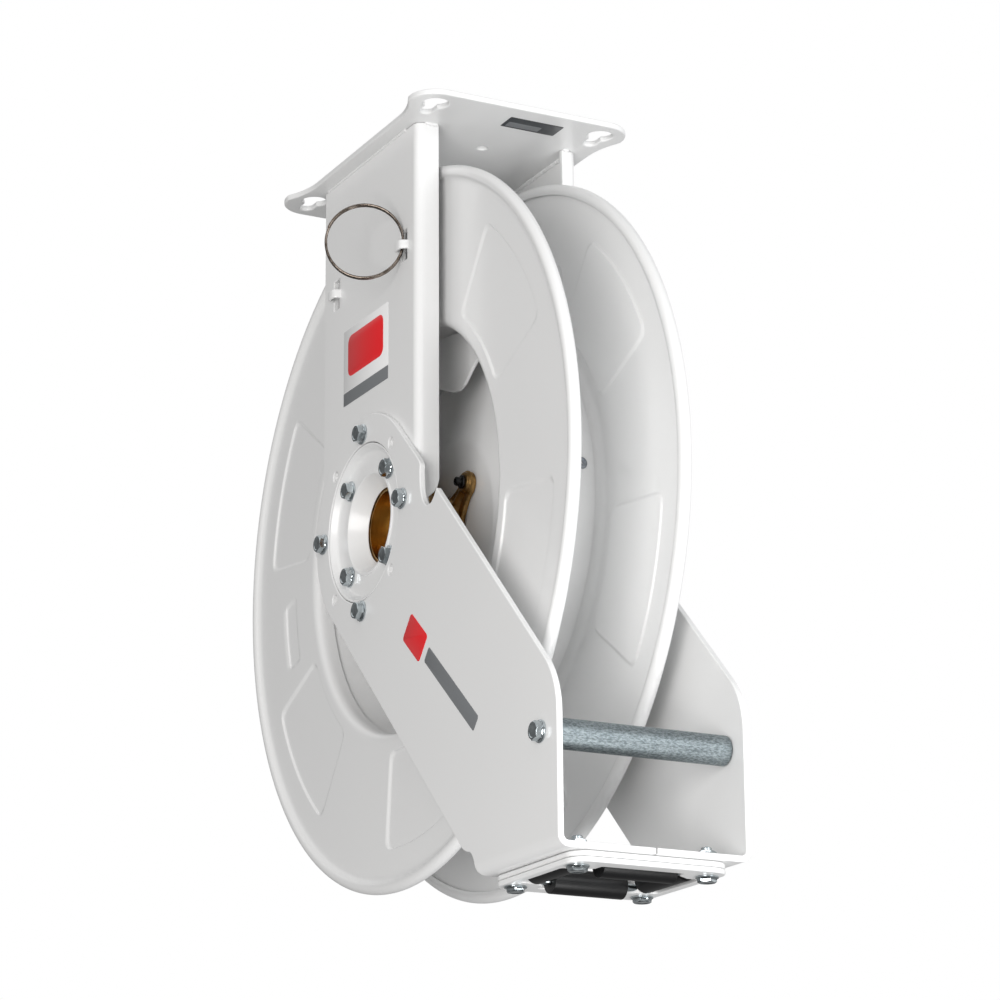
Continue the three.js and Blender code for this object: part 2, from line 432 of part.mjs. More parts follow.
// ---------------------------------------------------------------- fixed shaft on the spring side
add('axle_shaft', cut(turned([[6.6, 0], [6.6, 14], [7.6, 15], [56.8, 15], [72, 15], [73.3, 15], [73.3, 30], [77.8, 30], [77.8, 15], [96, 15], [97, 14], [97, 0]], 24), box(22.6, 45.4, -1.2, 20, -1.2, 1.2)), M.steel);
add('axle_nut', cut(turned([[78.1, 15.4], [78.1, 25], [79, 25.6], [91, 25.6], [92, 24.6], [92, 15.4]], 6), cylX(15.4, 70, 100, 0, 0, 32)), M.zinc);

// ---------------------------------------------------------------- pawl
{
  const PY = 45, PZ = 88;
  add('pawl_pin', join(cylX(4, 48.4, 76, 0, 0, 16), cylX(7, 75.1, 78, 0, 0, 16)), M.zinc).position.set(0, PY, PZ);
  const [ty, tz] = [8 - PY, 61 - PZ];
  const L = Math.hypot(ty, tz), ang = Math.atan2(tz, ty) * 180 / Math.PI;
  const sh = poly([...arc(0, 0, 9, 70, 290, 10), [L - 8, -4.5], [L, -2], [L + 1, 1.5], [L - 6, 4.5]].map(([u, v]) => { const t = ang * Math.PI / 180; return [u * Math.cos(t) - v * Math.sin(t), u * Math.sin(t) + v * Math.cos(t)]; }));
  sh.holes.push(hole(0, 0, 4.4));
  add('pawl', plateYZ(sh, 48.8, 53.4, 12), M.steel).position.set(0, PY, PZ);
  // torsion spring round the pin
  const pts = [];
  for (let i = 0; i <= 42; i++) { const a = i / 42 * 3.5 * 2 * Math.PI; pts.push(new THREE.Vector3(54.8 + i / 42 * 8.5, 6 * Math.cos(a), 6 * Math.sin(a))); }
  add('pawl_spring', wireAlong(pts, 0.7, 36, 4), M.spring).position.set(0, PY, PZ);
}

// ---------------------------------------------------------------- split ring through the front bridge
{
  const RR = 31.6, wire = 1.1, pitch = 2.5, turns = 1.94;
  const pts = [];
  // the two ends lie opposite the bridge
  for (let i = 0; i <= 48; i++) { const a = (0.5 + i / 48 * turns) * 2 * Math.PI; pts.push(new THREE.Vector3(RR * Math.cos(a), RR * Math.sin(a), pitch * turns * (i / 48 - 0.5))); }
  const g = wireAlong(pts, wire, 48, 5);
  const m = add('wire_ring', g, M.dark);
  // the ring's plane stands out from the post; it swings about the bridge
  const out = new THREE.Vector3(0.887, -0.462, 0), up = new THREE.Vector3(0, 0, 1), nrm = new THREE.Vector3().crossVectors(out, up);
  m.setRotationFromMatrix(new THREE.Matrix4().makeBasis(out, up, nrm));
  m.position.set(-75.3 - RR * 0.887, -66 + RR * 0.462, 222.5);
}

export default part;
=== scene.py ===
# Looks of the spring-rewind hose reel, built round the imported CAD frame.
import math
import random

import bmesh
import bpy
from mathutils import Matrix, Vector, noise


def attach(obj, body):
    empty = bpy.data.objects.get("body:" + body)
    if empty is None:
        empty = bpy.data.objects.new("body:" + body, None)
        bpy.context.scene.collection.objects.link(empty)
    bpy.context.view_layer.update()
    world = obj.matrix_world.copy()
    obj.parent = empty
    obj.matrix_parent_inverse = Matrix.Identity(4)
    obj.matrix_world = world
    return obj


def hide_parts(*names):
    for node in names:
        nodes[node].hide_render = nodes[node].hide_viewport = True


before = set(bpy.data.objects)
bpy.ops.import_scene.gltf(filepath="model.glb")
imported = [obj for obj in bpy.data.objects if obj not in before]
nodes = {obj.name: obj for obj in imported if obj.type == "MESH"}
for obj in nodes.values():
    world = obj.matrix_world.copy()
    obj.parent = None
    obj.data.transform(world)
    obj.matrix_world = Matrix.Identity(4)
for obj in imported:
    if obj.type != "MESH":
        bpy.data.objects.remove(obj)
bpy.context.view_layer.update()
random.seed(7)

S = 0.001
DROP = 325.0
FRONT_CAM = dict(az=-27.537, el=-16.619, roll=-0.418, lens=119.06, loc=(-1176.65, -2346.41, -1079.32))


# ------------------------------------------------------------------ materials
def principled(name, color, rough, metal=0.0, **kw):
    m = bpy.data.materials.new(name)
    m.use_nodes = True
    nt = m.node_tree
    b = nt.nodes["Principled BSDF"]
    b.inputs["Base Color"].default_value = (*color, 1)
    b.inputs["Roughness"].default_value = rough
    b.inputs["Metallic"].default_value = metal
    for k, v in kw.items():
        b.inputs[k].default_value = v
    return m, nt, b


def add_noise(nt, scale, detail=2.0, rough=0.5, stretch=None, rot=None):
    tc = nt.nodes.new("ShaderNodeTexCoord")
    mp = nt.nodes.new("ShaderNodeMapping")
    n = nt.nodes.new("ShaderNodeTexNoise")
    n.inputs["Scale"].default_value = scale
    n.inputs["Detail"].default_value = detail
    n.inputs["Roughness"].default_value = rough
    if stretch:
        mp.inputs["Scale"].default_value = stretch
    if rot:
        mp.inputs["Rotation"].default_value = rot
    nt.links.new(tc.outputs["Object"], mp.inputs["Vector"])
    nt.links.new(mp.outputs["Vector"], n.inputs["Vector"])
    return n


def ramp(nt, src, stops):
    r = nt.nodes.new("ShaderNodeValToRGB")
    r.color_ramp.interpolation = "EASE"
    e = r.color_ramp.elements
    while len(e) < len(stops):
        e.new(0.5)
    for el, (p, c) in zip(e, stops):
        el.position = p
        el.color = (*c, 1) if len(c) == 3 else c
    nt.links.new(src, r.inputs["Fac"])
    return r


def add_bump(nt, b, src, strength, dist):
    bp = nt.nodes.new("ShaderNodeBump")
    bp.inputs["Strength"].default_value = strength
    bp.inputs["Distance"].default_value = dist
    nt.links.new(src, bp.inputs["Height"])
    nt.links.new(bp.outputs["Normal"], b.inputs["Normal"])
    return bp


def paint(name, color, rough=0.3):
    # powder coat: satin gloss, very fine orange peel, slow tone drift
    m, nt, b = principled(name, color, rough)
    b.inputs["IOR"].default_value = 1.5
    b.inputs["Coat Weight"].default_value = 0.2
    b.inputs["Coat Roughness"].default_value = 0.14
    fine = add_noise(nt, 260, 2.0, 0.5)
    add_bump(nt, b, fine.outputs["Fac"], 0.10, 0.0006)
    slow = add_noise(nt, 7, 1.0, 0.4)
    r = ramp(nt, slow.outputs["Fac"], [(0.0, tuple(c * 0.985 for c in color)), (1.0, tuple(min(1, c * 1.01) for c in color))])
    nt.links.new(r.outputs["Color"], b.inputs["Base Color"])
    rr = nt.nodes.new("ShaderNodeMapRange")
    rr.inputs["To Min"].default_value = rough - 0.02
    rr.inputs["To Max"].default_value = rough + 0.03
    nt.links.new(slow.outputs["Fac"], rr.inputs["Value"])
    nt.links.new(rr.outputs["Result"], b.inputs["Roughness"])
    return m


def metal(name, c0, c1, rough, scale=60, bump=0.15, dist=0.0003, stretch=None, detail=4.0, rspan=0.12):
    m, nt, b = principled(name, c0, rough, 1.0)
    n = add_noise(nt, scale, detail, 0.6, stretch)
    r = ramp(nt, n.outputs["Fac"], [(0.32, c0), (0.68, c1)])
    nt.links.new(r.outputs["Color"], b.inputs["Base Color"])
    rr = nt.nodes.new("ShaderNodeMapRange")
    rr.inputs["To Min"].default_value = max(0.03, rough - rspan)
    rr.inputs["To Max"].default_value = rough + rspan
    nt.links.new(n.outputs["Fac"], rr.inputs["Value"])
    nt.links.new(rr.outputs["Result"], b.inputs["Roughness"])
    if bump:
        add_bump(nt, b, n.outputs["Fac"], bump, dist)
    return m


WHITE = paint("white_coat", (0.86, 0.862, 0.86), 0.28)
# a brighter, slightly greenish copy of the white paint for inside the drum: painted light standing in for the
# brightness and tint of the light in there; nothing uses it
WHITE_LIT_INSIDE = paint("white_coat_inner_lit", (0.87, 0.875, 0.855), 0.33)
ZINC = metal("zinc_bolt", (0.40, 0.44, 0.46), (0.60, 0.65, 0.67), 0.16, scale=150, bump=0.08, rspan=0.08)
BAR = metal("zinc_bar", (0.15, 0.18, 0.19), (0.38, 0.43, 0.45), 0.50, scale=900, bump=0.5, dist=0.0005, stretch=(0.4, 1, 1), detail=5, rspan=0.12)
STEEL = metal("plain_steel", (0.42, 0.43, 0.44), (0.58, 0.59, 0.60), 0.34, scale=90)
DARK_STEEL = metal("spring_strip", (0.22, 0.24, 0.27), (0.34, 0.36, 0.39), 0.32, scale=90)
WIRE = metal("dark_wire", (0.13, 0.105, 0.085), (0.26, 0.22, 0.19), 0.20, scale=200, bump=0.1)
BRASS = metal("turned_brass", (0.56, 0.37, 0.14), (0.66, 0.45, 0.19), 0.17, scale=30, bump=0.03, stretch=(14, 1, 1), detail=2.0, rspan=0.03)
BRASS_CAST = metal("cast_brass", (0.20, 0.115, 0.038), (0.50, 0.30, 0.115), 0.30, scale=120, bump=0.55, dist=0.0009, rspan=0.10)
BLACK_STEEL = metal("black_screw", (0.035, 0.035, 0.035), (0.07, 0.07, 0.07), 0.35, scale=120)
BLACK, _nt, _b = principled("black_nylon", (0.006, 0.006, 0.0065), 0.38)
_b.inputs["Specular IOR Level"].default_value = 0.35
_n = add_noise(_nt, 180, 3, 0.5)
add_bump(_nt, _b, _n.outputs["Fac"], 0.12, 0.0005)
NYLON, _nt, _b = principled("bearing_plastic", (0.06, 0.06, 0.065), 0.4)
_n = add_noise(_nt, 120, 2, 0.5)
add_bump(_nt, _b, _n.outputs["Fac"], 0.1, 0.0005)
LABEL_WHITE, _nt, _b = principled("label_white", (0.98, 0.98, 0.98), 0.2)
_b.inputs["Coat Weight"].default_value = 0.4
LABEL_RED, _nt, _b = principled("label_red", (0.86, 0.006, 0.012), 0.3)
_b.inputs["Coat Weight"].default_value = 0.4
LABEL_GREY, _nt, _b = principled("label_grey", (0.20, 0.21, 0.22), 0.3)
LABEL_DARK, _nt, _b = principled("label_dark", (0.05, 0.055, 0.06), 0.35)


# ------------------------------------------------------------------ mesh helpers
def V(x, y, z):
    return Vector((x * S, y * S, (z - DROP) * S))


def finish_mesh(name, bm, mat, body, rep=(), sharp=32.0, wn=False, raw=False, weld=True):
    if not raw:
        for v in bm.verts:
            v.co = V(*v.co)
    if weld:
        bmesh.ops.remove_doubles(bm, verts=bm.verts, dist=1e-6)
        bmesh.ops.dissolve_degenerate(bm, dist=1e-7, edges=bm.edges)
    bmesh.ops.recalc_face_normals(bm, faces=bm.faces)
    lim = math.radians(sharp)
    for f in bm.faces:
        f.smooth = True
    for e in bm.edges:
        if len(e.link_faces) == 2:
            e.smooth = e.calc_face_angle(0) < lim
        else:
            e.smooth = False
    me = bpy.data.meshes.new(name)
    bm.to_mesh(me)
    bm.free()
    me.materials.append(mat)
    ob = bpy.data.objects.new(name, me)
    bpy.context.scene.collection.objects.link(ob)
    if wn:
        md = ob.modifiers.new("wn", "WEIGHTED_NORMAL")
        md.keep_sharp = True
        md.weight = 90
    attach(ob, body)
    if rep:
        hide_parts(*rep)
    return ob


def arc(cx, cy, r, d0, d1, n):
    return [(cx + r * math.cos(math.radians(d0 + (d1 - d0) * i / n)), cy + r * math.sin(math.radians(d0 + (d1 - d0) * i / n))) for i in range(n + 1)]


def fillet(pts, radii, n=5, closed=True):
    """rounds the corners of a polygon; radii is one number or one per point"""
    out, N = [], len(pts)
    for i, p in enumerate(pts):
        r = radii if isinstance(radii, (int, float)) else radii[i]
        if r <= 0 or (not closed and i in (0, N - 1)):
            out.append(tuple(p))
            continue
        a, b = Vector(pts[i - 1]), Vector(pts[(i + 1) % N])
        p = Vector(p)
        u, w = (a - p), (b - p)
        lu, lw = u.length, w.length
        if lu < 1e-9 or lw < 1e-9:
            continue
        u /= lu
        w /= lw
        ang = math.acos(max(-1, min(1, u.dot(w))))
        if ang > math.pi - 1e-3 or ang < 1e-3:
            out.append(tuple(p))
            continue
        t = min(r / math.tan(ang / 2), 0.49 * lu, 0.49 * lw)
        rr = t * math.tan(ang / 2)
        c = p + (u + w).normalized() * (rr / math.sin(ang / 2))
        s0, s1 = p + u * t - c, p + w * t - c
        a0, a1 = math.atan2(s0.y, s0.x), math.atan2(s1.y, s1.x)
        d = (a1 - a0 + math.pi) % (2 * math.pi) - math.pi
        for k in range(n + 1):
            q = a0 + d * k / n
            out.append((c.x + rr * math.cos(q), c.y + rr * math.sin(q)))
    return out


def lathe_bm(profile, seg=160, closed=True, bm=None, cy=0.0, cz=0.0):
    bm = bm or bmesh.new()
    rings = []
    for j in range(seg):
        t = 2 * math.pi * j / seg
        c, s = math.cos(t), math.sin(t)
        rings.append([bm.verts.new((x, cy + r * c, cz + r * s)) for x, r in profile])
    n = len(profile)
    for j in range(seg):
        a, b = rings[j], rings[(j + 1) % seg]
        for i in range(n if closed else n - 1):
            k = (i + 1) % n
            if profile[i][1] < 1e-9 and profile[k][1] < 1e-9:
                continue
            try:
                bm.faces.new((a[i], a[k], b[k], b[i]))
            except ValueError:
                pass
    return bm


def lathe(name, profile, mat, body, rep=(), seg=160, closed=True, sharp=32.0, turn=None):
    bm = lathe_bm(profile, seg, closed)
    if turn:
        bm.transform(turn)
    return finish_mesh(name, bm, mat, body, rep, sharp)


def sheet_bm(outline, holes, t, er, bev=3):
    """flat blank in u, v with thickness 0..t along w, edges rounded by er"""
    cu = bpy.data.curves.new("tmp", "CURVE")
    cu.dimensions = "2D"
    cu.fill_mode = "BOTH"
    for loop in [outline] + list(holes):
        sp = cu.splines.new("POLY")
        sp.points.add(len(loop) - 1)
        for p, (u, v) in zip(sp.points, loop):
            p.co = (u, v, 0, 1)
        sp.use_cyclic_u = True
    cu.extrude = t / 2 - er
    cu.bevel_depth = er
    cu.bevel_resolution = bev
    cu.offset = -er
    ob = bpy.data.objects.new("tmp", cu)
    bpy.context.scene.collection.objects.link(ob)
    dg = bpy.context.evaluated_depsgraph_get()
    me = bpy.data.meshes.new_from_object(ob.evaluated_get(dg))
    bm = bmesh.new()
    bm.from_mesh(me)
    bpy.data.objects.remove(ob)
    bpy.data.curves.remove(cu)
    bpy.data.meshes.remove(me)
    bmesh.ops.remove_doubles(bm, verts=bm.verts, dist=1e-4)
    for v in bm.verts:
        v.co.z += t / 2
    return bm


def slice_bm(bm, axis, values):
    for val in values:
        co, no = [0, 0, 0], [0, 0, 0]
        co[axis], no[axis] = val, 1
        bmesh.ops.bisect_plane(bm, geom=bm.verts[:] + bm.edges[:] + bm.faces[:], plane_co=co, plane_no=no, dist=1e-5)


def sheet(name, outline, holes, t, er, fn, mat, body, rep=(), cuts=(), bev=3, sharp=50, extra=None):
    bm = sheet_bm(outline, holes, t, er, bev)
    for ax, vals in cuts:
        slice_bm(bm, ax, vals)
    for v in bm.verts:
        v.co = Vector(fn(*v.co))
    if extra:
        extra(bm)
    return finish_mesh(name, bm, mat, body, rep, sharp, wn=True)


def tube_bm(path, r, sides=16, closed=False, bm=None, rf=None):
    """round tube along a list of points, parallel-transported"""
    bm = bm or bmesh.new()
    P = [Vector(p) for p in path]
    n = len(P)
    tang = []
    for i in range(n):
        a = P[(i - 1) % n] if closed or i > 0 else P[i]
        b = P[(i + 1) % n] if closed or i < n - 1 else P[i]
        tang.append((b - a).normalized())
    up = Vector((0, 0, 1)) if abs(tang[0].z) < 0.9 else Vector((0, 1, 0))
    nrm = (up - tang[0] * up.dot(tang[0])).normalized()
    rings = []
    for i in range(n):
        nrm = (nrm - tang[i] * nrm.dot(tang[i])).normalized()
        bi = tang[i].cross(nrm)
        rr = rf(i) if rf else r
        rings.append([bm.verts.new(P[i] + (nrm * math.cos(2 * math.pi * k / sides) + bi * math.sin(2 * math.pi * k / sides)) * rr) for k in range(sides)])
    for i in range(n if closed else n - 1):
        a, b = rings[i], rings[(i + 1) % n]
        for k in range(sides):
            bm.faces.new((a[k], a[(k + 1) % sides], b[(k + 1) % sides], b[k]))
    if not closed:
        bm.faces.new(rings[0][::-1])
        bm.faces.new(rings[-1])
    return bm


def hole(cx, cy, r, n=40):
    return [(cx + r * math.cos(2 * math.pi * i / n), cy + r * math.sin(2 * math.pi * i / n)) for i in range(n)]


def pol(r, deg):
    t = math.radians(deg)
    return -r * math.cos(t), r * math.sin(t)


# ------------------------------------------------------------------ mounting plate
PX, EX, ER, Y0, Y1 = 88.5, 98.5, 24.0, -149.0, 143.0


def plate_outline():
    def side(sx):
        ex = EX - ER
        ya, yb = Y0 + ER, Y1 - ER
        pts = [(sx * (ex + ER * math.cos(math.radians(a))), yb + ER * math.sin(math.radians(a))) for a in [90 - 96 * i / 22 for i in range(23)]]
        up = [(EX * 1.0, yb - 2.5), (93.3, yb - 14), (90.2, yb - 25), (88.8, yb - 34), (PX, yb - 42)]
        lo = [(PX, ya + 42), (88.8, ya + 34), (90.2, ya + 25), (93.3, ya + 14)]
        pts += [(sx * x, y) for x, y in smooth(up)[1:]] + [(sx * x, y) for x, y in smooth(lo + [(EX, ya + 2.5)])[:-1]]
        pts += [(sx * (ex + ER * math.cos(math.radians(a))), ya + ER * math.sin(math.radians(a))) for a in [6 - 96 * i / 22 for i in range(23)]]
        return pts
    r = side(1)
    l = [(-x, y) for x, y in r]
    return r + l[::-1]


def smooth(pts, n=5):
    """Catmull-Rom through the points"""
    out = []
    P = [pts[0]] + list(pts) + [pts[-1]]
    for i in range(1, len(P) - 2):
        p0, p1, p2, p3 = [Vector(p) for p in P[i - 1:i + 3]]
        for k in range(n):
            t = k / n
            q = 0.5 * ((2 * p1) + (p2 - p0) * t + (2 * p0 - 5 * p1 + 4 * p2 - p3) * t * t + (3 * p1 - p0 - 3 * p2 + p3) * t ** 3)
            out.append(tuple(q))
    out.append(tuple(pts[-1]))
    return out


def keyhole(x, y):
    a = math.degrees(math.asin(5.5 / 10.5))
    return arc(x, y, 10.5, 90 + a, 450 - a, 30) + arc(x, y + 17, 5.5, 0, 180, 14)


keys = [keyhole(x, y) for x in (-76, 76) for y in (-128, 110)]
sheet("plate_skin", plate_outline(), keys + [hole(0, -62, 4)], 5, 1.5, lambda u, v, w: (u, v, 320 + w), WHITE, "frame", ["mounting_plate"], bev=4)


# ------------------------------------------------------------------ posts
def circ(r, d):
    return r * math.cos(math.radians(d)), r * math.sin(math.radians(d))


def post(name, side, flange_edge, rep):
    xo, t, R = -74.7, 5.0, 7.0
    yb = -90 + R
    Rm = R - t / 2
    extra = flange_edge - (xo + R)
    L = Rm * math.pi / 2
    se = yb - L - extra
    top = 319.7
    low = [(89, 62)] + smooth([circ(105, 33), circ(105, 25), circ(105, 17), circ(105, 9), circ(105, 3), (102.6, -3), (96, -8), (89.5, -14), circ(88, -18)], 4)
    circle = [circ(88, -18 - i * 4) for i in range(1, 37)]
    tail = smooth([(-85.8, -12), (-88, -6), (-93, -1), (-98.5, 4), (se + 1.6, 9.5), (se, 16)], 5)
    outline = [(se, top), (89, top)] + low + circle + tail
    holes = [hole(0, 0, 66.4, 120)]
    for k in range(4):
        y, z = pol(75, k * 90)
        holes.append(hole(y, z, 4.6, 24))
    for y in (-66, 64.5):
        holes.append([(y - 6, 206), (y + 6, 206), (y + 6, 232), (y - 6, 232)])

    def fn(u, v, w):
        if u >= yb:
            x, y = xo + w, u
        else:
            s = yb - u
            rho = R - w
            if s <= L:
                a = s / Rm
                x, y = xo + R - rho * math.cos(a), yb - rho * math.sin(a)
            else:
                x, y = xo + R + (s - L), yb - rho
        return (x * (-side), y, v)

    cuts = [(0, [yb - L * i / 8 for i in range(9)])]
    ob = sheet(name, outline, holes, t, 0.9, fn, WHITE, "frame", [rep], cuts=cuts)
    # lanced bridges
    for j, y in enumerate((-66, 64.5)):
        bm = bmesh.new()
        prof = smooth([(y - 7.6, xo + 2.6), (y - 6.6, xo + 0.2), (y - 5.6, xo - 2.6), (y - 3.8, xo - 4.5), (y, xo - 4.9), (y + 3.8, xo - 4.5), (y + 5.6, xo - 2.6), (y + 6.6, xo + 0.2), (y + 7.6, xo + 2.6)], 6)
        z0, z1, er = 214.0, 221.6, 0.9
        sec = []
        for a in (180, 210, 240, 270):
            sec.append((z0 + er + er * math.cos(math.radians(a)), -0.95 + er * math.sin(math.radians(a)) * 0.9))
        for a in (270, 300, 330, 360):
            sec.append((z1 - er + er * math.cos(math.radians(a)), -0.95 + er * math.sin(math.radians(a)) * 0.9))
        for a in (0, 30, 60, 90):
            sec.append((z1 - er + er * math.cos(math.radians(a)), 0.95 + er * math.sin(math.radians(a)) * 0.9 - 0.9))
        for a in (90, 120, 150, 180):
            sec.append((z0 + er + er * math.cos(math.radians(a)), 0.95 + er * math.sin(math.radians(a)) * 0.9 - 0.9))
        rings = []
        for i, (py, px) in enumerate(prof):
            a = Vector(prof[max(0, i - 1)])
            b = Vector(prof[min(len(prof) - 1, i + 1)])
            d = (b - a).normalized()
            n = Vector((-d.y, d.x))
            rings.append([bm.verts.new(((px + n.y * h) * (-side), py + n.x * h, zz)) for zz, h in sec])
        for i in range(len(rings) - 1):
            for k in range(len(sec)):
                q = (k + 1) % len(sec)
                bm.faces.new((rings[i][k], rings[i][q], rings[i + 1][q], rings[i + 1][k]))
        bm.faces.new(rings[0][::-1])
        bm.faces.new(rings[-1])
        finish_mesh(f"{name}_bridge_{j}", bm, WHITE, "frame", sharp=50)
    return ob


post("post_left_skin", -1, -54.2, "upright_left")
post("post_right_skin", 1, -60.8, "upright_right")


def bead(name, path, r, mat=WHITE):
    """a run of weld, lumpy and half sunk in the joint"""
    pts = []
    P = [Vector(p) for p in path]
    total = sum((P[i + 1] - P[i]).length for i in range(len(P) - 1))
    n = max(6, int(total / 0.9))
    for i in range(n + 1):
        d = total * i / n
        for k in range(len(P) - 1):
            l = (P[k + 1] - P[k]).length
            if d <= l + 1e-6 or k == len(P) - 2:
                pts.append(P[k].lerp(P[k + 1], min(1, d / l)))
                break
            d -= l
    bm = tube_bm(pts, r, 10, rf=lambda i: r * (0.86 + 0.10 * math.sin(i * 1.55) + 0.20 * noise.noise(Vector((i * 0.23, r, pts[0].x * 0.1)))) * (0.35 if i in (0, n) else 1))
    finish_mesh(name, bm, mat, "frame", sharp=80)


for s, xe in ((-1, -54.2), (1, 60.8)):
    xi = s * 69.7
    xw = s * 74.7
    bead(f"weld_in_{s}", [(xi, -80, 319.6), (xi, 86, 319.6)], 2.6)
    bead(f"weld_out_{s}", [(xw, -70, 319.6), (xw, 84, 319.6)], 1.5)
    bead(f"weld_fl_{s}", [(s * 67, -90.2, 319.6), (s * (abs(xe) + 1), -90.2, 319.6)], 2.0)


# ------------------------------------------------------------------ arms
AY0, AZ0 = -328.0, -322.5
CARY = -260.0


def arm(name, side, rep):
    xo, t, R = -80.0, 5.0, 9.0
    s0 = AZ0 + R
    Rm = R - t / 2
    L = Rm * math.pi / 2

    def smap(x):
        return s0 - L - (x - (xo + R))

    xe = -1.0
    head = [circ(90, a) for a in [-45 + 3 * i for i in range(61)]]
    notch = smooth([circ(90, 135), (-84.5, 43.5), (-105.2, 22.8), (-106.3, 14), (-107.2, 2), (-109.8, -7.5), (-114.2, -14), (-120, -16.9), (-126, -16.4), (-131.2, -12.6), (-135.3, -7.3)], 5)[1:]
    corner = arc(AY0 + 62, -225.6, 62, 135, 180, 14)
    fl_front = [(AY0, s0), (AY0, smap(xe))]
    win = [(CARY - 49.3, smap(xe)), (CARY - 49.3, smap(-34.3)), (CARY - 40, smap(-34.3)), (CARY - 32.2, smap(-45)), (CARY - 32.2, smap(-57.8)),
           (CARY + 32.2, smap(-57.8)), (CARY + 32.2, smap(-45)), (CARY + 40, smap(-34.3)), (CARY + 49.3, smap(-34.3)), (CARY + 49.3, smap(xe))]
    win = fillet(win, [0, 2, 2, 2, 2, 2, 2, 2, 2, 0], 3)
    back = [(-198, smap(xe)), (-198, s0 - L + 1)] + smooth([(-197.8, -318), (-197, -313), (-194.6, -308.4), (-190.6, -304.5), (-184, -302.6), (-178.5, -300.0)], 4)
    outline = head + notch + corner + fl_front + win + back
    holes = [hole(0, 0, 66.4, 120)]
    for k in range(8):
        y, z = pol(75, k * 45)
        holes.append(hole(y, z, 4.6, 24))
    holes.append(hole(-303.5, -235.5, 5.0, 24))

    def fn(u, v, w):
        if v >= s0:
            x, z = xo + w, v
        else:
            s = s0 - v
            rho = R - w
            if s <= L:
                a = s / Rm
                x, z = xo + R - rho * math.cos(a), s0 - rho * math.sin(a)
            else:
                x, z = xo + R + (s - L), s0 - rho
        return (x * (-side), u, z)

    cuts = [(1, [s0 - L * i / 8 for i in range(9)])]
    return sheet(name, outline, holes, t, 0.9, fn, WHITE, "frame", [rep], cuts=cuts)


arm("arm_left_skin", -1, "arm_left")
arm("arm_right_skin", 1, "arm_right")


# ------------------------------------------------------------------ hubs
hub_pts = [(-79.4, 65.7), (-79.4, 64.4), (-77.0, 62.9), (-73.0, 60.6), (-73, 43.15), (-74.2, 43.0), (-74.2, 41.0), (-72.6, 39.8), (-59.2, 31.0), (-59.2, 60), (-64.4, 62), (-64.4, 82), (-69.4, 82), (-69.4, 65.7)]
hub_rad = [0.5, 0.9, 3.0, 4.0, 0.25, 0.6, 0.8, 1.0, 0.6, 0, 0, 0, 0, 0]
lathe("hub_left_skin", fillet(hub_pts, hub_rad, 6), WHITE, "frame", ["hub_flange_left"], seg=220)
hub_r = [(79.4, 65.7), (79.4, 64.4), (77.0, 62.9), (73.0, 60.6), (73, 15.4), (57.2, 15.4), (57.2, 24), (60.2, 27), (60.2, 60), (64.4, 62), (64.4, 82), (69.4, 82), (69.4, 65.7)]
lathe("hub_right_skin", fillet(hub_r, [0.5, 0.9, 3.0, 4.0] + [0] * 9, 6), WHITE, "frame", ["hub_flange_right"], seg=220)
lathe("housing_skin", fillet([(-58.9, 36.2), (-58.9, 60), (-49, 60), (-47, 47), (-40, 44), (-40, 37.9), (-56.2, 37.9), (-56.2, 36.2)], [0, 1, 1, 3, 1, 0.5, 0, 0]), WHITE, "frame", ["bearing_housing"])
lathe("bush_skin", [(-55.9, 34.3), (-55.9, 37.5), (-40.4, 37.5), (-40.4, 34.3)], NYLON, "frame", ["bearing_bush"])


# ------------------------------------------------------------------ fasteners
def hex_head_bm(bm, af, h, x0, sgn, cy, cz, twist, flange_r=8.6, flange_h=1.4, dish=0.45):
    """hex flange head, axis X, seat at x0, growing towards sgn; drawn in mm"""
    N = 96

    def ring(fr, fx):
        out = []
        for i in range(N):
            t = 2 * math.pi * i / N
            a = t + math.radians(twist)
            r = fr(t)
            out.append(bm.verts.new((x0 + sgn * fx(t), cy + r * math.cos(a), cz + r * math.sin(a))))
        return out

    def hexr(t):
        k = (math.degrees(t) + 30) % 60 - 30
        return af / 2 / math.cos(math.radians(k))
    rc = af / 2 * 0.965
    H = h
    base = flange_h + 1.2
    rings = [
        ring(lambda t: flange_r - 0.25, lambda t: 0.0),
        ring(lambda t: flange_r, lambda t: 0.25),
        ring(lambda t: flange_r, lambda t: flange_h - 0.35),
        ring(lambda t: flange_r - 0.35, lambda t: flange_h),
        ring(lambda t: max(hexr(t) + 0.25, 6.9) * 0.5 + flange_r * 0.5 - 0.5, lambda t: flange_h + 0.35),
        ring(lambda t: hexr(t) + 0.12, lambda t: base - 0.2),
        ring(lambda t: hexr(t), lambda t: base + 0.25),
        ring(lambda t: hexr(t), lambda t: H - math.tan(math.radians(30)) * max(0, hexr(t) - rc) - 0.12),
        ring(lambda t: hexr(t) - 0.1, lambda t: H - math.tan(math.radians(30)) * max(0, hexr(t) - rc)),
        ring(lambda t: rc, lambda t: H),
        ring(lambda t: rc - 0.9, lambda t: H - 0.04),
        ring(lambda t: rc - 1.5, lambda t: H - dish),
        ring(lambda t: rc * 0.4, lambda t: H - dish - 0.05),
    ]
    for a, b in zip(rings[:-1], rings[1:]):
        for i in range(N):
            k = (i + 1) % N
            bm.faces.new((a[i], a[k], b[k], b[i]))
    bm.faces.new(rings[0])
    bm.faces.new(rings[-1])
    return bm


def bolt(name, rep, x, y, z, sgn, length, twist, mat=ZINC):
    bm = bmesh.new()
    hex_head_bm(bm, 13.0, 7.0, x, sgn, y, z, twist)
    lathe_bm([(x - sgn * length, 0), (x - sgn * length, 3.4), (x - sgn * (length - 0.8), 4.0), (x + sgn * 0.2, 4.0)], 32, False, bm, y, z)
    return finish_mesh(name, bm, mat, "frame", [rep], sharp=24)


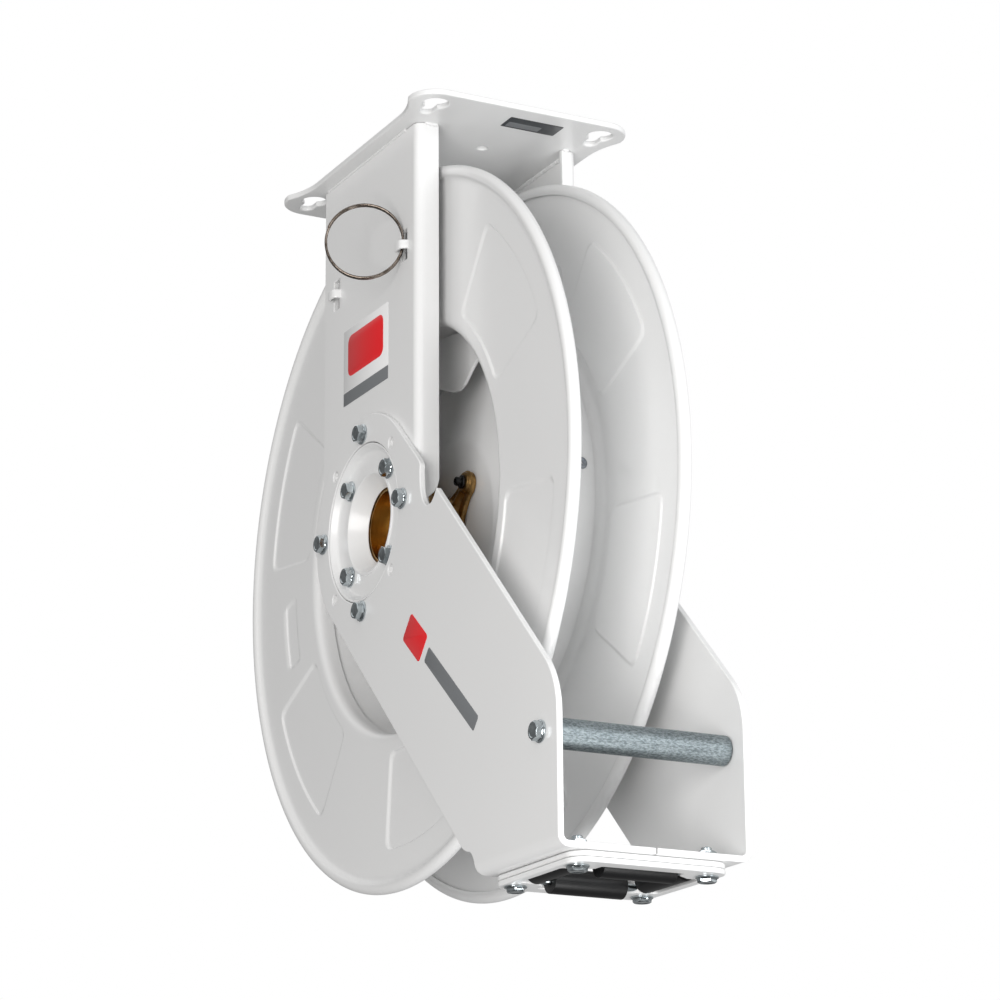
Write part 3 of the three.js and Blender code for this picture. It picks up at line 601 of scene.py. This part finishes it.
NAMES = ["front", "top", "back", "bottom"]
TW_L = {"front": 12, "top": 38, "back": 5, "bottom": 52}
for k in range(4):
    y, z = pol(75, k * 90)
    bolt(f"bolt_l_{NAMES[k]}", f"frame_bolt_left_{NAMES[k]}", -80.1, y, z, -1, 18.5, TW_L[NAMES[k]])
    bolt(f"bolt_r_{NAMES[k]}", f"frame_bolt_right_{NAMES[k]}", 80.1, y, z, 1, 18.5, 7 + k * 17)
    yi, zi = pol(52, 45 + k * 90)
    bolt(f"bolt_h_{k}", f"hub_bolt_left_{k + 1}", -73.1, yi, zi, -1, 21, 20 + k * 31)
BARY, BARZ = -303.5, -235.5
bolt("bolt_bar_l", "crossbar_bolt_left", -80.1, BARY, BARZ, -1, 28, 15)
bolt("bolt_bar_r", "crossbar_bolt_right", 80.1, BARY, BARZ, 1, 28, 40)

bm = lathe_bm(fillet([(-74.7, 0), (-74.7, 9.8), (-73.0, 11.4), (73.0, 11.4), (74.7, 9.8), (74.7, 0)], [0, 0.4, 0.6, 0.6, 0.4, 0], 4, False), 96, False, None, BARY, BARZ)
finish_mesh("bar_skin", bm, BAR, "frame", ["crossbar"])


# ------------------------------------------------------------------ roller guide
ZUP = -322.8
ZLOW = ZUP - 4.3
ZBOT = ZLOW - 4.0
ZYY = -322.65
ZXX = ZUP - 4.15
win_xy = fillet([(-34.3, -49.3), (34.3, -49.3), (34.3, -40), (45, -32.2), (57.8, -32.2), (57.8, 32.2), (45, 32.2), (34.3, 40), (34.3, 49.3), (-34.3, 49.3), (-34.3, 40), (-45, 32.2), (-57.8, 32.2), (-57.8, -32.2), (-45, -32.2), (-34.3, -40)], 2, 3)
win_xy = [(x, y + CARY) for x, y in win_xy]
car_out = fillet([(65, CARY + 65), (65, CARY - 65), (-65, CARY - 65), (-65, CARY + 65)], 15, 12)
for nm, zt, rep in (("car_up_skin", ZUP, "roller_plate_upper"), ("car_low_skin", ZLOW, "roller_plate_lower")):
    sheet(nm, car_out, [win_xy], 4, 1.1, lambda u, v, w, zt=zt: (u, v, zt - 4 + w), WHITE, "frame", [rep], bev=3)


def roller_profile(r, hl):
    return fillet([(-hl, 3.6), (-hl, r - 0.2), (-hl + 0.2, r), (hl - 0.2, r), (hl, r - 0.2), (hl, 3.6)], [0, 0.9, 0.9, 0.9, 0.9, 0], 5)


ROTZ = Matrix.Rotation(math.pi / 2, 4, "Z")
for n, s in (("front", -1), ("back", 1)):
    bm = lathe_bm(roller_profile(9.6, 30.5), 96)
    bm.transform(Matrix.Translation((0, CARY + s * 37, ZXX)))
    finish_mesh(f"roller_{n}_skin", bm, BLACK, f"roller_{n}", [f"roller_{n}"])
    bm = lathe_bm(fillet([(-42.5, 0), (-42.5, 3), (42.5, 3), (42.5, 0)], [0, 0.4, 0.4, 0], 3, False), 32, False)
    bm.transform(Matrix.Translation((0, CARY + s * 37, ZXX)))
    finish_mesh(f"axle_{n}_skin", bm, ZINC, "frame", [f"roller_axle_{n}"])
for n, s in (("left", -1), ("right", 1)):
    bm = lathe_bm(roller_profile(9.4, 29.0), 96)
    bm.transform(Matrix.Translation((s * 46, CARY, ZYY)) @ ROTZ)
    finish_mesh(f"roller_{n}_skin", bm, BLACK, f"roller_{n}", [f"roller_{n}"])
    bm = lathe_bm(fillet([(-52, 0), (-52, 3), (52, 3), (52, 0)], [0, 0.4, 0.4, 0], 3, False), 32, False)
    bm.transform(Matrix.Translation((s * 46, CARY, ZYY)) @ ROTZ)
    finish_mesh(f"axle_{n}_skin", bm, ZINC, "frame", [f"roller_axle_{n}"])

i = 1
for a in (-1, 1):
    for b in (-1, 1):
        bm = bmesh.new()
        # head below: build along X then stand it up
        hex_head_bm(bm, 12.6, 4.7, 0.0, -1, 0, 0, 10 + 23 * i)
        lathe_bm([(-0.2, 4.0), (20.6, 4.0), (21.4, 3.3), (21.4, 0)], 32, False, bm)
        # nut on the flange
        nb = bmesh.new()
        hex_head_bm(nb, 13.0, 5.0, 0.0, 1, 0, 0, 33 + 17 * i, flange_r=7.3, flange_h=0.2, dish=0.1)
        tmp = bpy.data.meshes.new("t")
        nb.transform(Matrix.Translation((13.5, 0, 0)))
        nb.to_mesh(tmp)
        nb.free()
        bm.from_mesh(tmp)
        bpy.data.meshes.remove(tmp)
        bm.transform(Matrix.Translation((a * 53.5, CARY + b * 47.5, ZBOT - 0.1)) @ Matrix.Rotation(-math.pi / 2, 4, "Y"))
        finish_mesh(f"car_bolt_{i}", bm, ZINC, "frame", [f"roller_bolt_{i}"], sharp=24)
        i += 1


# ------------------------------------------------------------------ drum flanges
def sstep(a, b, x):
    t = max(0.0, min(1.0, (x - a) / (b - a)))
    return t * t * (3 - 2 * t)


def panel_depth(r, deg, soft=0.95):
    """1 inside one of the six pressed panels, 0 outside, eased over the draw radius"""
    k = ((deg - 24) % 60) - 15.0
    dr = min(r - 184.5, 264.0 - r)
    dt = (15.0 - abs(k)) * math.pi / 180 * r
    # rounded corner
    cr = 9.0
    if dr < cr and dt < cr:
        d = cr - math.hypot(cr - dr, cr - dt)
    else:
        d = min(dr, dt)
    v = sstep(-soft, soft, d)
    return v


def pad_depth(r, deg):
    g = (deg + 169.5 + 180) % 360 - 180
    dr = 10.5 - abs(r - 222.0)
    dt = 29.0 - abs(g) * math.pi / 180 * r
    if dr < 3 and dt < 3:
        d = 3 - math.hypot(3 - dr, 3 - dt)
    else:
        d = min(dr, dt)
    return sstep(-0.75, 0.75, d)


def flange(name, x0, s, rep, seg):
    """x0: sheet mid plane, s: +1 when the lip turns to +X. The pressings stand towards the hose side."""
    bm = bmesh.new()
    T = 0.75
    rc, rr = 294.7, 5.3
    # outer side going out, then the rolled rim, then the inner side going back in, then the lip
    prof = []
    radii = [178.0, 181.0]
    radii += [183.3 + i * 0.4 for i in range(7)]
    radii += [188, 191, 194.5, 200, 207.0]
    radii += [210.5 + i * 0.4 for i in range(5)] + [215, 222, 229]
    radii += [231.5 + i * 0.4 for i in range(5)] + [240, 248, 255, 259, 261.6]
    radii += [262.8 + i * 0.4 for i in range(7)]
    radii += [270, 278, 284]
    for r in radii:
        prof.append(("o", -T, r))
    # throat into the bead
    prof += [("f", -T - 0.1, 286.6), ("f", -T - 0.7, 288.4), ("f", -T - 1.8, 289.9)]
    beadp = []
    for i in range(33):
        a = math.radians(-148 + 266 * i / 32)
        beadp.append((rr * math.sin(a), rc + rr * math.cos(a)))
    prof += [("f", u, r) for u, r in beadp]
    prof += [("f", 4.35, 291.2), ("f", 3.75, 290.8), ("f", 3.25, 291.2), ("f", 3.05, 292.4), ("f", 2.6, 294.0), ("f", 1.3, 294.0), ("f", 0.85, 292.0), ("f", T, 286.6)]
    for r in radii[::-1]:
        prof.append(("i", T, r))
    # lip turned in towards the drum, tube-like draw
    prof += [("f", T + 0.25, 176.0), ("f", T + 1.0, 174.2), ("f", T + 2.3, 172.6), ("f", T + 4.2, 171.0), ("f", T + 6.6, 170.2), ("f", T + 9.5, 170.0), ("f", 13.9, 170.0), ("f", 14.0, 169.2), ("f", 13.9, 168.5)]
    prof += [("f", 8.0, 168.5), ("f", 5.2, 168.8), ("f", 2.7, 169.7), ("f", 0.9, 171.2), ("f", -0.2, 173.2), ("f", -T + 0.05, 175.6)]
    n = len(prof)
    rings = []
    for j in range(seg):
        deg = 360.0 * j / seg
        t = math.radians(deg)
        c, sn = -math.cos(t), math.sin(t)
        ring = []
        for kind, u, r in prof:
            x = u
            if kind in ("o", "i"):
                x += 1.7 * panel_depth(r, deg) + 1.2 * pad_depth(r, deg)
            ring.append(bm.verts.new((x0 + s * x, r * c, r * sn)))
        rings.append(ring)
    for j in range(seg):
        a, b = rings[j], rings[(j + 1) % seg]
        for i in range(n):
            k = (i + 1) % n
            bm.faces.new((a[i], a[k], b[k], b[i]))
    return finish_mesh(name, bm, WHITE, "drum", [rep], sharp=60, weld=False)


FS = 1080
flange("flange_left_skin", -44.0, 1, "drum_flange_left", FS)
flange("flange_right_skin", 51.0, -1, "drum_flange_right", FS)

# winding core
lathe("core_skin", fillet([(-34.4, 170.8), (-34.4, 172.0), (41.4, 172.0), (41.4, 170.8)], 0.3, 3), WHITE, "drum", ["drum_core"], seg=260)
# dished web
web_pts = [(0, 22.8), (0, 78), (20.4, 151), (28, 165), (40.6, 167.1), (40.6, 165.6), (29.2, 163.4), (22.3, 150), (1.8, 77.6), (1.8, 22.8)]
lathe("web_skin", fillet(web_pts, [0.3, 22, 18, 7, 0.3, 0.3, 7, 18, 22, 0.3], 8), WHITE, "drum", ["drum_web"], seg=220)

# ------------------------------------------------------------------ swivel and spider
neck = [(-58.6, 29.5), (-58.6, 34), (-36, 34)] + smooth([(-35, 33.8), (-29, 32.0), (-21, 29.0), (-14, 26.7), (-9, 25.7), (-6.5, 26.4), (-4.8, 28.6)], 4) + [(-0.6, 27.0), (-0.6, 0)]
bm = lathe_bm([(-14.8, 0.0), (-15.2, 11), (-33, 11), (-34.4, 28.5), (-36, 29.5)] + neck, 160, False)
finish_mesh("swivel_skin", bm, BRASS_CAST, "drum", ["swivel_body"])

lathe("swivel_bore_skin", [(-58.75, 29.5), (-58.75, 29.2), (-36, 29.2), (-34.2, 28.2), (-20.5, 13), (-20.5, 13.4), (-34.4, 28.6), (-36, 29.5)], BRASS, "drum", seg=200)
SDEG = 39.0
FLANK = smooth([(22.4, 12.9), (20.3, 18.1), (16.7, 23.5), (14.2, 28.6), (12.1, 34.2), (10.7, 39.2), (10.1, 44.5), (10.55, 49.0)], 4)
spider = []
for k in range(3):
    t = math.radians(SDEG + k * 120)
    yy, zz = -math.cos(t), math.sin(t)
    tip = [(10.6 * math.cos(math.radians(a)), 50.5 + 10.6 * math.sin(math.radians(a))) for a in range(0, 181, 8)]
    one = FLANK[:-1] + tip + [(-u, v) for u, v in FLANK[::-1]][1:]
    spider.append([(v * yy - u * zz, v * zz + u * yy) for u, v in one])
# the three lobes run one into the next, either way round
ring_pts = []
order = [0, 1, 2] if (Vector(spider[0][-1]) - Vector(spider[1][0])).length < (Vector(spider[0][-1]) - Vector(spider[2][0])).length else [0, 2, 1]
for k in order:
    ring_pts += spider[k]
sheet("spider_plate", ring_pts, [], 4.4, 1.5, lambda u, v, w: (-0.6 - w, u, v), BRASS_CAST, "drum", sharp=50, bev=4)
for k in range(3):
    t = math.radians(SDEG + k * 120)
    yy, zz = -math.cos(t), math.sin(t)
    cy, cz = 52 * yy, 52 * zz
    # stepped boss round the screw
    boss = fillet([(-4.4, 9.9), (-6.2, 9.7), (-6.5, 8.5), (-8.3, 8.2), (-8.8, 7.2), (-8.6, 0)], [0.6, 0.9, 0.7, 0.9, 0.5, 0], 4, False)
    finish_mesh(f"spider_boss_{k}", lathe_bm(boss, 64, False, None, cy, cz), BRASS_CAST, "drum", sharp=40)
    # cast rib from the neck up to the boss
    bm = bmesh.new()
    rows = []
    for v, top, hw in ((20, -12.5, 5.4), (24, -11.5, 4.9), (27, -10.2, 4.4), (30, -9.2, 4.0), (34, -8.5, 3.7), (39, -8.2, 3.6), (44, -8.1, 3.8), (47, -7.9, 4.4)):
        row = []
        for q in range(9):
            a = math.radians(180 * q / 8)
            u = hw * math.cos(a) * (1.0 if q not in (0, 8) else 1.5)
            h = -4.4 + (top + 4.4) * (math.sin(a) ** 0.55 if 0 < q < 8 else 0)
            row.append(bm.verts.new((h, v * yy - u * zz, v * zz + u * yy)))
        rows.append(row)
    for ra, rb in zip(rows[:-1], rows[1:]):
        for q in range(9):
            bm.faces.new((ra[q], ra[(q + 1) % 9], rb[(q + 1) % 9], rb[q]))
    bm.faces.new(rows[0])
    bm.faces.new(rows[-1])
    finish_mesh(f"spider_rib_{k}", bm, BRASS_CAST, "drum", sharp=70)
    # socket screw on a thick washer
    bm = bmesh.new()
    hp = fillet([(-15.4, 2.2), (-15.4, 3.7), (-12.2, 3.7), (-11.8, 2.9), (-10.8, 2.9), (-10.8, 5.6), (-8.9, 5.6), (-8.9, 4.0), (15, 4.0), (15, 0)], [0.3, 0.9, 0.5, 0.3, 0.3, 0.6, 0.3, 0, 0.5, 0], 4, False)
    lathe_bm([(-13.4, 0), (-13.4, 2.1)] + hp, 48, False, bm, cy, cz)
    finish_mesh(f"spider_screw_{k}", bm, BLACK_STEEL, "drum", [f"swivel_screw_{k + 1}"])

# outlet pipe and nipple
for nm, r, ri, a, b, mat, sl, rep in (("outlet_stub", 14.8, 11, 21, 58, BRASS_CAST, "brass", ()), ("outlet_pipe_skin", 14.5, 11, 58.4, 158, STEEL, "plain_steel", ("outlet_pipe",)), ("nipple_skin", 12.6, 9.5, 158.4, 188, BRASS, "brass", ("hose_nipple",))):
    yy, zz = pol(1, 120)
    bm = lathe_bm(fillet([(a, ri), (a, r), (b, r), (b, ri)], 0.5, 3), 64)
    if nm == "nipple_skin":
        for kk in range(5):
            x = 170 + kk * 3.4
            lathe_bm([(x, 12.4), (x + 2.6, 13.3), (x + 3.0, 12.4)], 64, False, bm)
        N = 6
        vs = [[bm.verts.new((xx, 15.4 * math.cos(math.radians(60 * q)), 15.4 * math.sin(math.radians(60 * q)))) for q in range(N)] for xx in (158.4, 166.4)]
        for q in range(N):
            bm.faces.new((vs[0][q], vs[0][(q + 1) % N], vs[1][(q + 1) % N], vs[1][q]))
    R = Matrix(((0, 0, 1, -15.5), (yy, -zz, 0, 0), (zz, yy, 0, 0), (0, 0, 0, 1)))
    bm.transform(R)
    finish_mesh(nm, bm, mat, "drum", list(rep))

# white tab that holds the hose end inside the drum, with a rounded lower end
tab = [(14, 132), (-2, 123.8), (-17.1, 117.6), (-30, 112.4), (-40, 110.9), (-50, 113.2), (-63, 121.9), (-76, 129.2), (-90, 138), (-72, 150), (-50, 159), (-30, 163.4), (-10, 166), (14, 165)]
sheet("hose_end_tab", fillet(tab, [0, 3, 8, 8, 8, 8, 5, 5, 2, 2, 2, 2, 2, 2], 5), [], 3, 0.9, lambda u, v, w: (-12.0 + w, u, v), WHITE, "drum")
# small button screw in the core
bm = lathe_bm(fillet([(0, 1.2), (0.9, 1.2), (0.9, 2.2), (1.7, 2.9), (1.2, 4.6), (-0.6, 5.2), (-0.6, 0)], [0, 0, 0.3, 0.4, 0.6, 0, 0], 3, False), 40, False)
th = math.atan2(18, 172)
bm.transform(Matrix.Translation((30, -172.2 * math.cos(th), 172.2 * math.sin(th))) @ Matrix(((0, 0, 1, 0), (-math.cos(th), -math.sin(th), 0, 0), (math.sin(th), -math.cos(th), 0, 0), (0, 0, 0, 1))))
finish_mesh("core_screw", bm, DARK_STEEL, "drum")

# steel hub behind the web, bearing, spring case, cover, spring, ratchet
lathe("drum_hub_skin", fillet([(2.1, 22.6), (2.1, 62), (19.6, 62), (19.6, 22.6)], 0.6, 3), STEEL, "drum", ["drum_hub"], seg=120)
lathe("drum_bearing_skin", [(6.4, 15.5), (6.4, 22.3), (19.4, 22.3), (19.4, 15.5)], NYLON, "drum", ["drum_bearing"], seg=96)
lathe("spring_case_skin", fillet([(20, 64), (20, 120), (46, 120), (46, 118.4), (21.6, 118.4), (21.6, 30), (20, 30)], [0, 4, 0.5, 0.5, 3, 0.3, 0.3], 6), STEEL, "drum", ["spring_case"], seg=200)
cover_pts = [(46.3, 18), (46.3, 120), (47.9, 120), (47.9, 100), (48.1, 99), (48.1, 66), (47.9, 65), (47.9, 18)]
lathe("spring_cover_skin", fillet(cover_pts, 0.3, 3), STEEL, "drum", ["spring_cover"], seg=200)

bm = bmesh.new()
NS, turns = (520), 5
prev = None
for i in range(NS + 1):
    a = turns * 2 * math.pi * i / NS
    r = 17.2 + (112 - 17.2) * (i / NS) ** 0.9
    ring = [bm.verts.new((x, rr * math.cos(a), rr * math.sin(a))) for x, rr in ((23, r - 0.8), (23, r + 0.8), (45, r + 0.8), (45, r - 0.8))]
    if prev:
        for k in range(4):
            bm.faces.new((prev[k], prev[(k + 1) % 4], ring[(k + 1) % 4], ring[k]))
    else:
        bm.faces.new(ring[::-1])
    prev = ring
bm.faces.new(prev)
finish_mesh("spring_skin", bm, DARK_STEEL, "drum", ["power_spring"])

teeth = []
for k in range(12):
    a0 = 76.4 + k * 30
    teeth += arc(0, 0, 53, a0 - 7, a0 + 7, 5)
    teeth += arc(0, 0, 60, a0 + 10, a0 + 13, 2)
sheet("ratchet_skin", fillet(teeth, 0.5, 2), [hole(0, 0, 24, 64)], 5.6, 0.4, lambda u, v, w: (48.2 + w, u, v), STEEL, "drum", ["ratchet_wheel"], bev=2)

# ------------------------------------------------------------------ shaft, nut, pawl
lathe("shaft_skin", fillet([(6.6, 0), (6.6, 14), (7.6, 15), (73.3, 15), (73.3, 30), (77.8, 30), (77.8, 15), (96, 15), (97, 14), (97, 0)], [0, 0.3, 0.3, 0, 0.5, 0.8, 0.3, 0.4, 0.4, 0], 3, False), STEEL, "frame", ["axle_shaft"], closed=False, seg=96)
bm = bmesh.new()
hex_head_bm(bm, 44.3, 13.7, 78.1, 1, 0, 0, 0, flange_r=22.0, flange_h=0.3, dish=0.1)
finish_mesh("shaft_nut_skin", bm, ZINC, "frame", ["axle_nut"], sharp=24)
bm = lathe_bm(fillet([(48.4, 0), (48.4, 4), (75.1, 4), (75.1, 7), (78, 7), (78, 0)], [0, 0.4, 0, 0.3, 0.8, 0], 3, False), 40, False, None, 45, 88)
finish_mesh("pawl_pin_skin", bm, ZINC, "frame", ["pawl_pin"])
pts = []
for i in range(0, 141):
    a = i / 140 * 3.5 * 2 * math.pi
    pts.append((54.8 + i / 140 * 8.5, 45 + 6 * math.cos(a), 88 + 6 * math.sin(a)))
finish_mesh("pawl_spring_skin", tube_bm(pts, 0.7, 10), DARK_STEEL, "frame", ["pawl_spring"])
ty, tz = 8 - 45, 61 - 88
PL, pang = math.hypot(ty, tz), math.atan2(tz, ty)
po = arc(0, 0, 9, 70, 290, 24) + fillet([(PL - 8, -4.5), (PL, -2), (PL + 1, 1.5), (PL - 6, 4.5)], [6, 1, 1, 6], 4)
sheet("pawl_skin", po, [hole(0, 0, 4.6, 28)], 4.6, 0.5, lambda u, v, w: (48.8 + w, 45 + u * math.cos(pang) - v * math.sin(pang), 88 + u * math.sin(pang) + v * math.cos(pang)), STEEL, "pawl", ["pawl"], bev=2)

# ------------------------------------------------------------------ split ring
RR, wire, pitch, tn = 31.6, 1.1, 2.5, 1.94
o3, u3 = Vector((0.887, -0.462, 0)), Vector((0, 0, 1))
n3 = o3.cross(u3)
c3 = Vector((-75.3 - RR * 0.887, -66 + RR * 0.462, 222.5))
pts = []
NR = 260
for i in range(NR + 1):
    a = (0.5 + i / NR * tn) * 2 * math.pi
    pts.append(c3 + o3 * (RR * math.cos(a)) + u3 * (RR * math.sin(a)) + n3 * (pitch * tn * (i / NR - 0.5)))
finish_mesh("wire_ring_skin", tube_bm(pts, wire, 14), WIRE, "wire_ring", ["wire_ring"])


# ------------------------------------------------------------------ labels (plain, with no words or marks)
def decal(name, quad_fn, outline, mat, lift):
    bm = sheet_bm(outline, [], 0.24, 0.05, 1)
    for v in bm.verts:
        v.co = Vector(quad_fn(v.co.x, v.co.y, v.co.z + lift))
    return finish_mesh(name, bm, mat, "frame", sharp=40)


def on_post(u, v, w):
    return (-74.7 - 0.0 - w, u, v)


def on_arm(u, v, w):
    return (-80.0 - w, u, v)


def under_plate(u, v, w):
    return (u, v, 320.0 - w)


decal("label_white_field", on_post, fillet([(-37, 125), (49, 125), (49, 180), (-37, 180)], 1.0, 2), LABEL_WHITE, 0.02)
decal("label_grey_band", on_post, fillet([(-37, 113.6), (49, 113.6), (49, 124.9), (-37, 124.9)], 0.8, 2), LABEL_GREY, 0.02)
decal("label_red_block", on_post, fillet([(-28, 137), (40, 137), (40, 173), (-28, 173)], 7.0, 8), LABEL_RED, 0.30)
# plain two-tone stripe on the arm and a blank plate under the ceiling plate
AX, AZ = Vector((-0.755, -0.656)), Vector((0.656, -0.755))


def stripe(a, b, w0, w1):
    o = Vector((-84.0, -107.0))
    return [tuple(o + AX * t + AZ * q) for t, q in ((a, w0), (b, w0), (b, w1), (a, w1))]


decal("arm_stripe_red", on_arm, fillet(stripe(0, 38, -12, 12), 3.0, 5), LABEL_RED, 0.02)
decal("arm_stripe_grey", on_arm, fillet(stripe(46, 156, -6.5, 6.5), 2.0, 5), LABEL_GREY, 0.02)
decal("data_plate_dark", under_plate, fillet([(-9, -132), (40, -132), (40, -112), (-9, -112)], 1.0, 3), LABEL_DARK, 0.02)
decal("data_plate_field", under_plate, fillet([(-6, -123), (24, -123), (24, -114.5), (-6, -114.5)], 0.6, 2), LABEL_GREY, 0.30)

# ------------------------------------------------------------------ world, lights, camera
ROOM = [(0.0, 0.30), (0.35, 0.33), (0.62, 0.44), (1.0, 0.68)]
w = bpy.data.worlds.new("World")
bpy.context.scene.world = w
w.use_nodes = True
nt = w.node_tree
bg = nt.nodes["Background"]
bg.inputs["Color"].default_value = (1, 1, 1, 1)
bg.inputs["Strength"].default_value = 1.0
# studio: a pale room, brightest in front and above, duller to the left, behind and below
tc = nt.nodes.new("ShaderNodeTexCoord")
front = nt.nodes.new("ShaderNodeVectorMath")
front.operation = "DOT_PRODUCT"
front.inputs[1].default_value = Vector((0.34, -0.88, 0.33)).normalized()
nt.links.new(tc.outputs["Generated"], front.inputs[0])
fr = nt.nodes.new("ShaderNodeValToRGB")
e = fr.color_ramp.elements
while len(e) < 4:
    e.new(0.5)
for el, (pos, val) in zip(e, ROOM):
    el.position = pos
    el.color = (val, val, val, 1)
half = nt.nodes.new("ShaderNodeMapRange")
half.inputs["From Min"].default_value = -1
nt.links.new(front.outputs["Value"], half.inputs["Value"])
nt.links.new(half.outputs["Result"], fr.inputs["Fac"])
tall = nt.nodes.new("ShaderNodeVectorMath")
tall.operation = "DOT_PRODUCT"
tall.inputs[1].default_value = Vector((0.18, -0.25, 0.95)).normalized()
nt.links.new(tc.outputs["Generated"], tall.inputs[0])
th = nt.nodes.new("ShaderNodeMapRange")
th.inputs["From Min"].default_value = -1
nt.links.new(tall.outputs["Value"], th.inputs["Value"])
gr = nt.nodes.new("ShaderNodeValToRGB")
e = gr.color_ramp.elements
GLOSS = [(0.0, 0.1), (0.30, 0.3), (0.42, 0.25), (0.50, 0.12), (0.58, 0.3), (0.66, 0.9), (0.80, 1.0), (0.9, 0.4), (1.0, 0.7)]
while len(e) < len(GLOSS):
    e.new(0.5)
for el, (pos, val) in zip(e, GLOSS):
    el.position = pos
    el.color = (val, val, val, 1)
nt.links.new(th.outputs["Result"], gr.inputs["Fac"])
room = nt.nodes.new("ShaderNodeBackground")
room.inputs["Strength"].default_value = 1.0
lp = nt.nodes.new("ShaderNodeLightPath")
pick = nt.nodes.new("ShaderNodeMixRGB")
nt.links.new(lp.outputs["Is Glossy Ray"], pick.inputs[0])
nt.links.new(fr.outputs["Color"], pick.inputs[1])
nt.links.new(gr.outputs["Color"], pick.inputs[2])
nt.links.new(pick.outputs["Color"], room.inputs["Color"])
mx = nt.nodes.new("ShaderNodeMixShader")
nt.links.new(lp.outputs["Is Camera Ray"], mx.inputs["Fac"])
nt.links.new(room.outputs["Background"], mx.inputs[1])
nt.links.new(bg.outputs["Background"], mx.inputs[2])
nt.links.new(mx.outputs["Shader"], nt.nodes["World Output"].inputs["Surface"])


def area(name, loc, target, size, power, color=(1, 1, 1), sy=None):
    ld = bpy.data.lights.new(name, "AREA")
    ld.energy = power
    ld.color = color
    ld.size = size
    if sy:
        ld.shape = "RECTANGLE"
        ld.size_y = sy
    ob = bpy.data.objects.new(name, ld)
    bpy.context.scene.collection.objects.link(ob)
    ob.location = loc
    d = Vector(target) - Vector(loc)
    ob.rotation_euler = d.to_track_quat("-Z", "Y").to_euler()
    return ob


area("key", (0.8, -3.0, -0.3), (0, 0, -0.35), 1.4, 31, (0.965, 0.985, 1.0), sy=2.2)
area("side", (-2.1, -2.1, -0.9), (0, 0, -0.35), 1.3, 52, (1.0, 0.985, 0.972), sy=1.8)
area("under", (0.25, -1.15, -1.55), (0, -0.25, -0.62), 0.6, 8.0)

cam_d = bpy.data.cameras.new("Camera")
cam_d.lens = FRONT_CAM["lens"]
cam_d.sensor_width = 36
cam_d.clip_end = 50
cam = bpy.data.objects.new("Camera", cam_d)
bpy.context.scene.collection.objects.link(cam)
a, e, r = [math.radians(FRONT_CAM[k]) for k in ("az", "el", "roll")]
back = Vector((math.sin(a) * math.cos(e), -math.cos(a) * math.cos(e), math.sin(e)))
fwd = -back
right = fwd.cross(Vector((0, 0, 1))).normalized()
up = right.cross(fwd)
r2 = right * math.cos(r) + up * math.sin(r)
u2 = -right * math.sin(r) + up * math.cos(r)
M = Matrix((
    (r2.x, u2.x, back.x, FRONT_CAM["loc"][0] * S),
    (r2.y, u2.y, back.y, FRONT_CAM["loc"][1] * S),
    (r2.z, u2.z, back.z, FRONT_CAM["loc"][2] * S),
    (0, 0, 0, 1)))
cam.matrix_world = M
bpy.context.scene.camera = cam
bpy.context.scene.view_settings.view_transform = "Standard"
bpy.context.scene.view_settings.look = "None"
